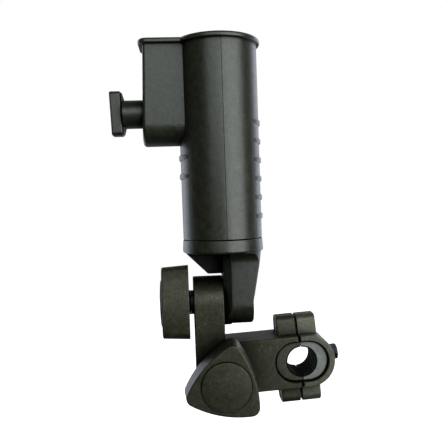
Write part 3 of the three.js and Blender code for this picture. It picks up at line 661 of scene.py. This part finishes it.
def tube_moulding():
    boss_plan = rectangle(-POCKET_OUTER, -BOSS_INNER, POCKET_BOTTOM, BOSS_TOP, 0.8)
    boss = slab("y", boss_plan, -POCKET_HALF, POCKET_HALF, 0)
    hollow = cut(pocket_body(POCKET_WALL, TUBE_TOP + PAST, 0.6), boss)
    bore = opening("z", circle(TUBE_BORE, sides=ROUND), TUBE_BOTTOM, TUBE_TOP, 0.7)
    screw_hole = bar("x", SCREW_RADIUS + RUN, -POCKET_OUTER - PAST, PAST - BOSS_INNER, (0, SCREW_HEIGHT))
    grooves = parting_grooves(TUBE_RADIUS, TUBE_BOTTOM - PAST, TUBE_TOP - RIM_HEIGHT)
    return cut(tube_outside(), bore, hollow, screw_hole, screw_flare(), *grooves)


def plate_chamfer(side):
    """The cutter for the sloping edge of the foot's plate, at its front (-1) or its back (1)."""
    right = FOOT_LEFT + FOOT_CHAMFER_WIDTH
    outline = [
        Vector((FOOT_LEFT - PAST, side * (FOOT_RADIUS + PAST))),
        Vector((FOOT_LEFT - PAST, side * (FOOT_RADIUS - FOOT_CHAMFER_DEPTH))),
        Vector((FOOT_LEFT, side * (FOOT_RADIUS - FOOT_CHAMFER_DEPTH))),
        Vector((right, side * FOOT_RADIUS)),
        Vector((right, side * (FOOT_RADIUS + PAST))),
    ]
    outline = outline if side < 0 else outline[::-1]
    return slab("z", outline, -FOOT_RADIUS - PAST, COLLAR_BOTTOM + PAST, 0)


def foot_flare(face, left):
    """The hollow curves that carry the foot's front and back out to the underside of the collar."""
    low, reach = COLLAR_BOTTOM - FOOT_FLARE, face + FOOT_FLARE
    outline = arc((reach, low), FOOT_FLARE, 180, 90, 10)
    outline += [Vector((reach, COLLAR_BOTTOM + LAP)), Vector((-reach, COLLAR_BOTTOM + LAP))]
    outline += arc((-reach, low), FOOT_FLARE, 90, 0, 10)
    return slab("x", outline, left, FOOT_RIGHT_AT_TOP, 0)


def base_plug():
    """The collar and the spigot that it carries up into the tube."""
    seat, inner = TUBE_BOTTOM + SPIGOT, TUBE_BORE - GAP
    return turned(
        "z",
        [
            (0, COLLAR_BOTTOM, 0),
            (COLLAR_RADIUS, COLLAR_BOTTOM, COLLAR_ROUND),
            (COLLAR_RADIUS - COLLAR_DRAFT, TUBE_BOTTOM - GAP, 0.4),
            (inner, TUBE_BOTTOM - GAP, 0),
            (inner, seat, SPIGOT_LEAD),
            (0, seat, 0),
        ],
    )


def foot_body(left, top):
    """The foot's narrower right-hand part, flared front and back up to the collar."""
    face = FOOT_RADIUS - FOOT_RECESS
    side = slab("x", tongue(face, 0, top), left, FOOT_RIGHT_AT_TOP, 0)
    outline = rounded(
        [
            (left, top, 0),
            (left, -FOOT_RADIUS, 0),
            (FOOT_RIGHT - FOOT_CORNER_WIDTH, -FOOT_RADIUS, 0.8),
            (FOOT_RIGHT, -FOOT_RADIUS + FOOT_CORNER_HEIGHT, 2.0),
            (FOOT_RIGHT, FOOT_SHOULDER, 6.0),
            (FOOT_RIGHT_AT_TOP, top, 0),
        ]
    )
    front = slab("y", outline, -face, face, 0.7)
    flare = common(foot_flare(face, left), slab("y", outline, -COLLAR_RADIUS, COLLAR_RADIUS, 0))
    under_collar = bar("z", COLLAR_RADIUS - 0.2, -FOOT_RADIUS, top, sides=ROUND)
    return common(join(common(side, front), flare), under_collar)


def foot_gusset(top):
    """The rib under the collar, to the left of the foot."""
    outline = rounded(
        [
            (-GUSSET_REACH, top, 0),
            (-GUSSET_REACH, COLLAR_BOTTOM - GUSSET_RISE, 0.3),
            (-GUSSET_FLAT, GUSSET_BOTTOM, 1.0),
            (FOOT_LEFT + LAP, GUSSET_BOTTOM, 0),
            (FOOT_LEFT + LAP, top, 0),
        ]
    )
    return slab("y", outline, -GUSSET_HALF, GUSSET_HALF, 0.4)


def base_moulding():
    top, plate_right = COLLAR_BOTTOM + LAP, FOOT_LEFT + FOOT_PLATE
    blank = slab("x", tongue(FOOT_RADIUS, 0, top), FOOT_LEFT, plate_right, 0.45)
    plate = cut(blank, plate_chamfer(-1), plate_chamfer(1))
    shaft = bar("x", BOLT_RADIUS + RUN, FOOT_LEFT - PAST, FOOT_RIGHT + PAST)
    recess = opening("x", hexagon(BOLT_ACROSS + 2 * GAP), FOOT_RIGHT - BOLT_RECESS, FOOT_RIGHT, 0.35)
    grooves = parting_grooves(COLLAR_RADIUS, COLLAR_BOTTOM + COLLAR_ROUND, TUBE_BOTTOM)
    body = foot_body(plate_right - LAP, top)
    return cut(join(base_plug(), plate, body, foot_gusset(top)), shaft, recess, *grooves)


# ---- Knuckle and knobs -----------------------------------------------
def knuckle_moulding():
    """A column that faces the foot, grown into a disc that faces the clamp's arm."""
    start = math.degrees(math.acos(KNUCKLE_BACK / KNUCKLE_RADIUS))
    side = arc((0, 0), KNUCKLE_RADIUS, -start, 180, 60)
    side += [Vector((KNUCKLE_FRONT, PIVOT.z)), Vector((KNUCKLE_BACK, PIVOT.z))]
    column = slab("x", side, KNUCKLE_LEFT, KNUCKLE_RIGHT, 0.7)
    disc = slab(
        "y", circle(KNUCKLE_DISC, (PIVOT.x, PIVOT.z), ROUND), KNUCKLE_FRONT, KNUCKLE_BACK, 0.7
    )
    return cut(
        join(column, disc),
        bar("x", BOLT_RADIUS + RUN, KNUCKLE_LEFT - PAST, KNUCKLE_RIGHT + PAST),
        bar("y", BOLT_RADIUS + RUN, KNUCKLE_FRONT - PAST, KNUCKLE_BACK + PAST, (PIVOT.x, PIVOT.z)),
    )


def knob_blank():
    """The knob's outside, drafted towards its front, and the round seat sunk there for its cap."""
    outline = tri_lobe(KNOB_CORNER, KNOB_SIDE, KNOB_LOBE)
    back_edge, front_edge, lip, lip_round = 0.5, 0.9, 0.14, 0.04
    levels = [(shrink, KNOB_BACK + depth) for shrink, depth in edge_steps(back_edge)]
    levels += [(shrink, KNOB_FRONT - depth) for shrink, depth in reversed(edge_steps(front_edge))]
    rings = []
    for shrink, height in levels:
        widen = 1 + KNOB_DRAFT / KNOB_CORNER * (KNOB_FRONT - height) / (KNOB_FRONT - KNOB_BACK)
        rings.append([(point * widen).to_3d() + height * Z for point in inset(outline, shrink)])
    seat_radius, seat = CAP_RADIUS + GAP, CAP_SEAT - GAP
    for radius, height in [
        (seat_radius + lip, KNOB_FRONT),
        (seat_radius + lip_round, KNOB_FRONT - lip_round),
        (seat_radius, KNOB_FRONT - lip),
        (seat_radius, seat),
    ]:
        rings.append([point.normalized().to_3d() * radius + height * Z for point in outline])
    rings.append([seat * Z])
    return loft(rings)


def knob_hollow():
    """The cutter for the hollow in the knob's back, round a hub and between three ribs."""
    top = KNOB_BACK + HOLLOW_DEPTH
    outline = tri_lobe(KNOB_CORNER - HOLLOW_WALL, KNOB_SIDE - HOLLOW_WALL, HOLLOW_LOBE)
    hub = bar("z", HOLLOW_HUB, KNOB_BACK - 2 * PAST, top + PAST)
    rib_plan = rectangle(0, KNOB_CORNER, -HOLLOW_RIB / 2, HOLLOW_RIB / 2, 0.1)
    ribs = []
    for facing in (60, 180, 300):
        rib = slab("z", rib_plan, KNOB_BACK, top + PAST, 0)
        ribs.append(moved(rib, Matrix.Rotation(math.radians(facing), 4, "Z")))
    return cut(slab("z", outline, KNOB_BACK - PAST, top, 0, 0.6), hub, *ribs)


def knob_moulding():
    neck = bar("z", WASHER_RADIUS, KNOB_HUB, KNOB_BACK + LAP, edge=0.1)
    return cut(
        join(cut(knob_blank(), knob_hollow()), neck),
        bar("z", BOLT_RADIUS + 2 * RUN, KNOB_HUB - PAST, KNOB_FRONT),
        slab("z", hexagon(NUT_ACROSS + 2 * GAP), NUT_FROM - GAP, KNOB_FRONT, 0),
    )


def cap_moulding():
    """A cap with a rounded rim and a crown that is nearly flat."""
    steps, crown = 8, 0.55
    rim = KNOB_FRONT + CAP_DOME - crown
    corners = [(0, CAP_SEAT, 0), (CAP_RADIUS, CAP_SEAT, 0.2), (CAP_RADIUS, rim, 0.4)]
    for k in range(steps - 1, -1, -1):
        fraction = k / steps
        corners.append((CAP_RADIUS * fraction, rim + crown * (1 - fraction**2), 0))
    return turned("z", corners)


def stack_washer():
    """The CAD's washer, thickened towards both neighbours so that no light shows past it."""
    low, high = WASHER_FROM - WASHER_SPREAD, WASHER_TO + WASHER_SPREAD
    disc = slab("z", circle(WASHER_RADIUS), low, high, 0.12)
    return cut(disc, bar("z", BOLT_RADIUS + RUN, WASHER_FROM - PAST, WASHER_TO + PAST))


def stack_bolt(head_depth):
    head = hex_block("z", BOLT_ACROSS, -head_depth - BOLT_HEAD, -head_depth)
    return join(head, bar("z", BOLT_RADIUS, -head_depth - LAP, BOLT_END, edge=0.6))


# ---- Rail clamp, in the frame whose X runs along the arm -------------
EAR_MIDDLE = (EAR_FRONT + EAR_BACK) / 2
NUT_SEAT = EAR_LEFT + CLAMP_NUT
JAW_END = JAW_END_OFFSET + ARM_HALF_HEIGHT
SLEEVE_END = OVAL_OFFSET + OVAL_RADIUS - GAP
ARM_EDGE = 0.8


def ear_outline(side, lean):
    """An ear's side view above (1) or below (-1) the opening; its front leans back beyond the arm."""
    outline = rounded(
        [
            (EAR_FRONT, 0, 0),
            (EAR_BACK, 0, 0),
            (EAR_BACK, EAR_TOP, EAR_ROUND),
            (EAR_FRONT + lean, EAR_TOP, EAR_ROUND),
            (EAR_FRONT, ARM_HALF_HEIGHT, 0),
        ],
        10,
    )
    return outline if side > 0 else [Vector((point.x, -point.y)) for point in reversed(outline)]


def ears(left, right, left_edge, right_edge):
    outlines = ear_outline(1, EAR_LEAN_ABOVE), ear_outline(-1, EAR_LEAN_BELOW)
    return [slab("x", outline, left, right, left_edge, right_edge) for outline in outlines]


def oval_cutter():
    return opening("y", stadium(OVAL_RADIUS, OVAL_OFFSET), -ARM_HALF_DEPTH, ARM_HALF_DEPTH, 0.5)


def on_bolt_axes(make):
    """What a function makes at the upper and at the lower clamp bolt's axis."""
    return [make((EAR_MIDDLE, height)) for height in (CLAMP_BOLT_HEIGHT, -CLAMP_BOLT_HEIGHT)]


def arm_moulding():
    """The arm from its pivot to the split through the oval opening, with the left half of both ears."""
    plate = arc((-ARM_LENGTH, 0), ARM_HALF_HEIGHT, 90, 270, 60)
    plate += [Vector((SPLIT_FROM, -ARM_HALF_HEIGHT)), Vector((SPLIT_FROM, ARM_HALF_HEIGHT))]
    body = slab("y", plate, -ARM_HALF_DEPTH, ARM_HALF_DEPTH, ARM_EDGE)
    hole, nut_across = CLAMP_BOLT_RADIUS + RUN, CLAMP_NUT_ACROSS + 2 * GAP
    nut_floor = NUT_SEAT + GAP - PAST  # opening() cuts on by PAST
    pivot = (-ARM_LENGTH, 0)
    pocket = hexagon(BOLT_ACROSS + 2 * GAP, pivot)
    return cut(
        join(body, *ears(EAR_LEFT, SPLIT_FROM, 0.9, 0.25)),
        oval_cutter(),
        *on_bolt_axes(lambda at: bar("x", hole, EAR_LEFT - PAST, 0, at)),
        *on_bolt_axes(lambda at: opening("x", hexagon(nut_across, at), EAR_LEFT, nut_floor, 0.3)),
        bar("y", BOLT_RADIUS + RUN, -ARM_HALF_DEPTH - PAST, ARM_HALF_DEPTH + PAST, pivot),
        opening("y", pocket, ARM_HALF_DEPTH - BOLT_RECESS + PAST, ARM_HALF_DEPTH, 0.35),
    )


def along_sleeve_screw(mesh):
    """Tilts a form that lies along the arm to the sleeve screw's angle."""
    return moved(mesh, Matrix.Rotation(-math.radians(SLEEVE_SCREW_ANGLE), 4, "Y"))


def jaw_moulding():
    """The jaw from the split to its round end, with the right half of both ears."""
    plate = arc((JAW_END_OFFSET, 0), ARM_HALF_HEIGHT, -90, 90, 60)
    plate += [Vector((SPLIT_TO, ARM_HALF_HEIGHT)), Vector((SPLIT_TO, -ARM_HALF_HEIGHT))]
    body = slab("y", plate, -ARM_HALF_DEPTH, ARM_HALF_DEPTH, ARM_EDGE)
    seat = EAR_RIGHT - CLAMP_HEAD - CLAMP_WASHER - 2 * GAP
    hole = CLAMP_BOLT_RADIUS + RUN
    well = CLAMP_HEAD_RADIUS + GAP
    return cut(
        join(body, *ears(SPLIT_TO, EAR_RIGHT, 0.25, 0.9)),
        oval_cutter(),
        *on_bolt_axes(lambda at: bar("x", hole, -PAST, EAR_RIGHT + PAST, at)),
        *on_bolt_axes(lambda at: opening("x", circle(well, at), seat + PAST, EAR_RIGHT, 0.35)),
        along_sleeve_screw(bar("x", SLEEVE_SCREW_RADIUS + RUN, 0, JAW_END + PAST)),
    )


def sleeve_blank():
    """Both halves of the sleeve in one, with its grooved bore and a flare at each mouth."""
    front, back = -ARM_HALF_DEPTH + SLEEVE_RECESS, ARM_HALF_DEPTH - GAP
    body = slab("y", stadium(OVAL_RADIUS - GAP, OVAL_OFFSET), front, back, 1.0, 0.5)
    mouth, floor = BORE_RADIUS + BORE_MOUTH, BORE_RADIUS + GROOVE_DEPTH
    flare, last_groove_end = 0.6, back - 1.0
    corners = [(0, front - PAST, 0), (mouth, front - PAST, 0), (BORE_RADIUS, front + flare, 0)]
    at = front + GROOVE_FIRST
    while at + GROOVE_WIDTH < last_groove_end:
        end = at + GROOVE_WIDTH
        corners += [(BORE_RADIUS, at, 0.15), (floor, at + GROOVE_SLOPE, 0.2)]
        corners += [(floor, end, 0.2), (BORE_RADIUS, end + GROOVE_SLOPE, 0.15)]
        at += GROOVE_PITCH
    corners += [(BORE_RADIUS, back - flare, 0), (mouth, back + PAST, 0), (0, back + PAST, 0)]
    return cut(body, turned("y", corners))


def half_sleeve(left, right):
    """The part of the sleeve between two distances along the arm."""
    reach = 2 * ARM_HALF_HEIGHT
    side = slab("y", rectangle(left, right, -reach, reach, 0.2), -ARM_HALF_DEPTH, ARM_HALF_DEPTH, 0)
    return common(sleeve_blank(), side)


def moving_sleeve_moulding():
    low = SLEEVE_END - SLEEVE_SCREW_BITE - GAP
    hole = along_sleeve_screw(bar("x", SLEEVE_SCREW_RADIUS + RUN, low, JAW_END))
    return cut(half_sleeve(GAP, 2 * ARM_HALF_HEIGHT), hole)


def sleeve_screw():
    head_from = JAW_END + GAP
    head = hex_block("x", SLEEVE_SCREW_ACROSS, head_from, head_from + SLEEVE_SCREW_HEAD, chamfer=0.4)
    low = SLEEVE_END - SLEEVE_SCREW_BITE
    shank = bar("x", SLEEVE_SCREW_RADIUS, low, head_from + LAP, edge=0.3)
    return along_sleeve_screw(join(head, shank))


def clamp_bolt(height):
    at = (EAR_MIDDLE, height)
    head_to = EAR_RIGHT - GAP
    head_from = head_to - CLAMP_HEAD
    head = bar("x", CLAMP_HEAD_RADIUS, head_from, head_to, at, 0.4)
    shank = bar("x", CLAMP_BOLT_RADIUS, EAR_LEFT + GAP, head_from + LAP, at, 0.4)
    socket = opening("x", hexagon(SOCKET_ACROSS, at), head_to - SOCKET_DEPTH + PAST, head_to, 0.25)
    return cut(join(head, shank), socket)


def clamp_nut(height):
    at = (EAR_MIDDLE, height)
    low = EAR_LEFT + GAP
    hole = opening("x", circle(CLAMP_BOLT_RADIUS + RUN, at), low, NUT_SEAT, 0.3)
    return cut(hex_block("x", CLAMP_NUT_ACROSS, low, NUT_SEAT, at), hole)


# ---- Thumb screw and pressure shoe -----------------------------------
def thumb_screw():
    """A flat wing, standing a little out of square, on a thin web and a smooth shank."""
    axis = SCREW_HEIGHT
    low, high = axis + WING_RAISE - WING_HALF, axis + WING_RAISE + WING_HALF
    front = slab("y", rectangle(WING_OUTER, WING_INNER, low, high, 1.2), -WING_THICK, WING_THICK, 1.1)
    side = rectangle(-WING_THICK, WING_THICK, low, high, 2.2)
    wing = common(front, slab("x", side, WING_OUTER - PAST, WING_SHOULDER, 0))
    web_low, web_high, web_step = low + 0.8, high - 0.8, WING_INNER + 0.4
    web_outline = [
        (WING_INNER - LAP, web_low),
        (web_step, web_low),
        (WING_SHOULDER, axis - SCREW_RADIUS),
        (WING_SHOULDER, axis + SCREW_RADIUS),
        (web_step, web_high),
        (WING_INNER - LAP, web_high),
    ]
    web = slab("y", [Vector(corner) for corner in web_outline], -WING_WEB, WING_WEB, 0.3)
    wing = join(wing, web)
    for vertex in wing.vertices:
        vertex.co.x -= math.tan(math.radians(WING_LEAN)) * (vertex.co.z - axis)
    at = (0, axis)
    shank = bar("x", SCREW_RADIUS, WING_SHOULDER - 2 * LAP, SHANK_TO, at, 0.4, ROUND)
    pin = bar("x", PIN_RADIUS, SHANK_TO - LAP, PIN_TO, at, 0.3)
    return join(wing, shank, pin)


def shoe_moulding():
    body = slab("x", tongue(SHOE_HALF, SHOE_FLOOR, SHOE_TOP), SHOE_BACK, SHOE_FRONT, 0.5)
    socket = bar("x", PIN_RADIUS + RUN, SHOE_BACK - PAST, PIN_TO + GAP, (0, SCREW_HEIGHT))
    return cut(body, socket)


def pad_moulding():
    outline = tongue(SHOE_HALF - PAD_INSET, SHOE_FLOOR, SHOE_TOP - PAD_INSET)
    body = slab("x", outline, SHOE_FRONT + GAP, PAD_FRONT, 0.4)
    return cut(body, bar("z", TUBE_BORE + PAD_INSET, 0, SHOE_TOP + PAST, sides=ROUND))


# ---- Assembly --------------------------------------------------------
def build_holder():
    piece("tube_moulding", tube_moulding(), "housing", "holder_tube", HOLDER)
    piece("base_moulding", base_moulding(), "housing", "tube_base", HOLDER)
    piece("knuckle_moulding", knuckle_moulding(), "fitting", "knuckle", HOLDER)
    piece("thumb_screw_moulding", thumb_screw(), "fitting", "thumb_screw", HOLDER, "housing")
    piece("shoe_moulding", shoe_moulding(), "fitting", "pressure_shoe", HOLDER)
    piece("pad_moulding", pad_moulding(), "rubber", "shoe_pad", HOLDER)


def build_stack(prefix, place, turn, head_depth):
    """A knob, its cap, its washer and its bolt, which stays square while the knob is turned."""
    piece(f"{prefix}_knob_moulding", knob_moulding(), "fitting", f"{prefix}_knob", place)
    piece(f"{prefix}_cap_moulding", cap_moulding(), "fitting", f"{prefix}_knob_cap", place)
    piece(f"{prefix}_washer_disc", stack_washer(), "black_steel", f"{prefix}_washer", place)
    bolt_place = place @ Matrix.Rotation(-math.radians(turn), 4, "Z")
    piece(f"{prefix}_hex_bolt", stack_bolt(head_depth), "zinc", f"{prefix}_bolt", bolt_place)


def build_stacks():
    tilt = stack_frame(TILT_FACE, Y, -Z, -X, TILT_KNOB_TURN)
    tilt_head = FOOT_RIGHT - BOLT_RECESS + GAP - KNUCKLE_LEFT
    build_stack("tilt", tilt, TILT_KNOB_TURN, tilt_head)
    swing = stack_frame(SWING_FACE, X, Z, -Y, SWING_KNOB_TURN)
    swing_head = ARM_HALF_DEPTH - BOLT_RECESS + GAP - HOLDER_AT.y - KNUCKLE_FRONT
    build_stack("swing", swing, SWING_KNOB_TURN, swing_head)


def build_clamp():
    fixed, moving = half_sleeve(-2 * ARM_HALF_HEIGHT, -GAP), moving_sleeve_moulding()
    piece("arm_moulding", arm_moulding(), "fitting", "clamp_arm", CLAMP)
    # The jaw and the moving sleeve take lighter, shinier copies of their finishes: painted light.
    piece("jaw_moulding", jaw_moulding(), "fitting", "clamp_jaw", CLAMP, "fitting_painted_lighter")
    piece("fixed_sleeve_moulding", fixed, "sleeve", "fixed_sleeve", CLAMP)
    piece("moving_sleeve_moulding", moving, "sleeve", "moving_sleeve", CLAMP, "sleeve_painted_lighter")
    piece("sleeve_hex_screw", sleeve_screw(), "black_steel", "sleeve_screw", CLAMP)
    for side, height in (("upper", CLAMP_BOLT_HEIGHT), ("lower", -CLAMP_BOLT_HEIGHT)):
        bolt, nut = clamp_bolt(height), clamp_nut(height)
        piece(f"{side}_cap_screw", bolt, "black_steel", f"{side}_clamp_bolt", CLAMP)
        piece(f"{side}_hex_nut", nut, "zinc", f"{side}_clamp_nut", CLAMP, "black_steel")


def finish_carried_nodes():
    """The CAD nodes that stay in view, washers and captive nuts, take their slot's material."""
    for part in frame["record"]["subparts"]:
        cad = frame["nodes"][part["node"]]
        cad.data.materials.clear()
        cad.data.materials.append(MATERIALS[part["material_slot"]])


# ---- Camera, floor and light -----------------------------------------
CAMERA_AT = Vector((-0.06275, -0.3341, 0.09267))
CAMERA_TURN, CAMERA_TILT, CAMERA_ROLL = 0.064, 0.038, -0.034  # radians
CAMERA_LENS, CAMERA_SENSOR = 46.26, 36.0
BACK_GLOW, ROOM_GLOW = 2.1, 0.09
LIGHT_DISTANCE = 1.0
FLOOR_AT, FLOOR_RADIUS, FLOOR_GLOW = (-0.05, 0.0, -0.16), 1.2, 0.9
WHITE = rgba(1, 1, 1)


def add_camera():
    camera = bpy.data.cameras.new("camera")
    camera.lens, camera.sensor_width, camera.clip_start = CAMERA_LENS, CAMERA_SENSOR, 0.01
    holder = put_in_scene("camera", camera)
    aim = Matrix.Rotation(-CAMERA_TURN, 4, "Z") @ Matrix.Rotation(-CAMERA_TILT, 4, "X")
    aim = aim @ Matrix.Rotation(-CAMERA_ROLL, 4, "Y") @ Matrix.Rotation(math.pi / 2, 4, "X")
    holder.matrix_world = Matrix.Translation(CAMERA_AT) @ aim
    bpy.context.scene.camera = holder


def add_world():
    """White to the camera; to the object a dim room that is bright behind it on both sides."""
    world = bpy.data.worlds.new("studio")
    bpy.context.scene.world = world
    nodes = Nodes(world)
    towards = nodes.place.node.outputs["Generated"]
    split = nodes.add("ShaderNodeSeparateXYZ", {0: towards}).outputs
    behind = nodes.ramp(split["Y"], 0.2, 0.6, 0.0, BACK_GLOW, "SMOOTHSTEP")
    sides = nodes.ramp(nodes.math("ABSOLUTE", split["X"]), 0.25, 0.62, 0.14, 1.0, "SMOOTHSTEP")
    back = {"Color": rgba(0.84, 0.88, 1.0), "Strength": nodes.math("MULTIPLY", behind, sides)}
    room_glow = nodes.ramp(split["Z"], -0.5, 0.1, 0.25 * ROOM_GLOW, ROOM_GLOW, "SMOOTHSTEP")
    room = {"Color": rgba(1.0, 1.0, 0.80), "Strength": room_glow}
    glows = [nodes.add("ShaderNodeBackground", inputs).outputs[0] for inputs in (back, room)]
    lighting = nodes.add("ShaderNodeAddShader", {0: glows[0], 1: glows[1]}).outputs[0]
    shown = nodes.tree.nodes["Background"]
    shown.inputs["Color"].default_value = WHITE
    seen = nodes.add("ShaderNodeLightPath").outputs["Is Camera Ray"]
    mix = nodes.add("ShaderNodeMixShader", {"Fac": seen, 1: lighting, 2: shown.outputs[0]})
    nodes.put(nodes.tree.nodes["World Output"].inputs["Surface"], mix.outputs[0])


def add_floor():
    """A plain pale floor well below the clamp, which holds the part on its rail."""
    form = bmesh.new()
    bmesh.ops.create_circle(form, cap_ends=True, segments=96, radius=FLOOR_RADIUS)
    mesh = to_mesh(form, "floor")
    floor = put_in_scene("floor", mesh)
    floor.location = FLOOR_AT
    material = bpy.data.materials.new("floor")
    nodes = Nodes(material)
    speck = nodes.noise(6, 2.0, 0.5)
    pale = nodes.mix(speck, rgba(0.93, 0.93, 0.93), rgba(0.96, 0.96, 0.96))
    nodes.put(nodes.shader.inputs["Base Color"], pale)
    nodes.put(nodes.shader.inputs["Roughness"], nodes.ramp(speck, 0, 1, 0.8, 0.95))
    nodes.put(nodes.shader.inputs["Emission Color"], WHITE)
    nodes.put(nodes.shader.inputs["Emission Strength"], FLOOR_GLOW)
    mesh.materials.append(material)
    floor.visible_glossy = False
    floor.visible_diffuse = False
    floor.visible_shadow = False


def add_soft_light(name, azimuth, elevation, width, height, glow, colour):
    """A soft light on a sphere round the part, of a width and a height in degrees as seen from it;
    azimuth 0 is towards the camera, and glow is the light's radiance."""
    turn, climb = math.radians(azimuth), math.radians(elevation)
    away = Vector((math.sin(turn) * math.cos(climb), -math.cos(turn) * math.cos(climb), math.sin(climb)))
    light = bpy.data.lights.new(name, "AREA")
    light.shape, light.color = "RECTANGLE", colour
    light.size = 2 * LIGHT_DISTANCE * math.tan(math.radians(width) / 2)
    light.size_y = 2 * LIGHT_DISTANCE * math.tan(math.radians(height) / 2)
    light.energy = glow * math.pi * light.size * light.size_y
    holder = put_in_scene(name, light)
    centre = (CAD_BOX[0] + CAD_BOX[1]) / 2
    aim = (-away).to_track_quat("-Z", "Y").to_matrix().to_4x4()
    holder.matrix_world = Matrix.Translation(centre + LIGHT_DISTANCE * away) @ aim
    holder.visible_camera = False


build_holder()
build_stacks()
build_clamp()
finish_carried_nodes()
add_camera()
add_world()
add_floor()
add_soft_light("front_soft", -8, 26, 44, 38, 2.3, (0.96, 1.0, 1.0))
add_soft_light("right_soft", 38.5, 7.5, 52, 60, 4.2, (0.98, 1.0, 0.99))
bpy.context.scene.view_settings.view_transform = "Standard"
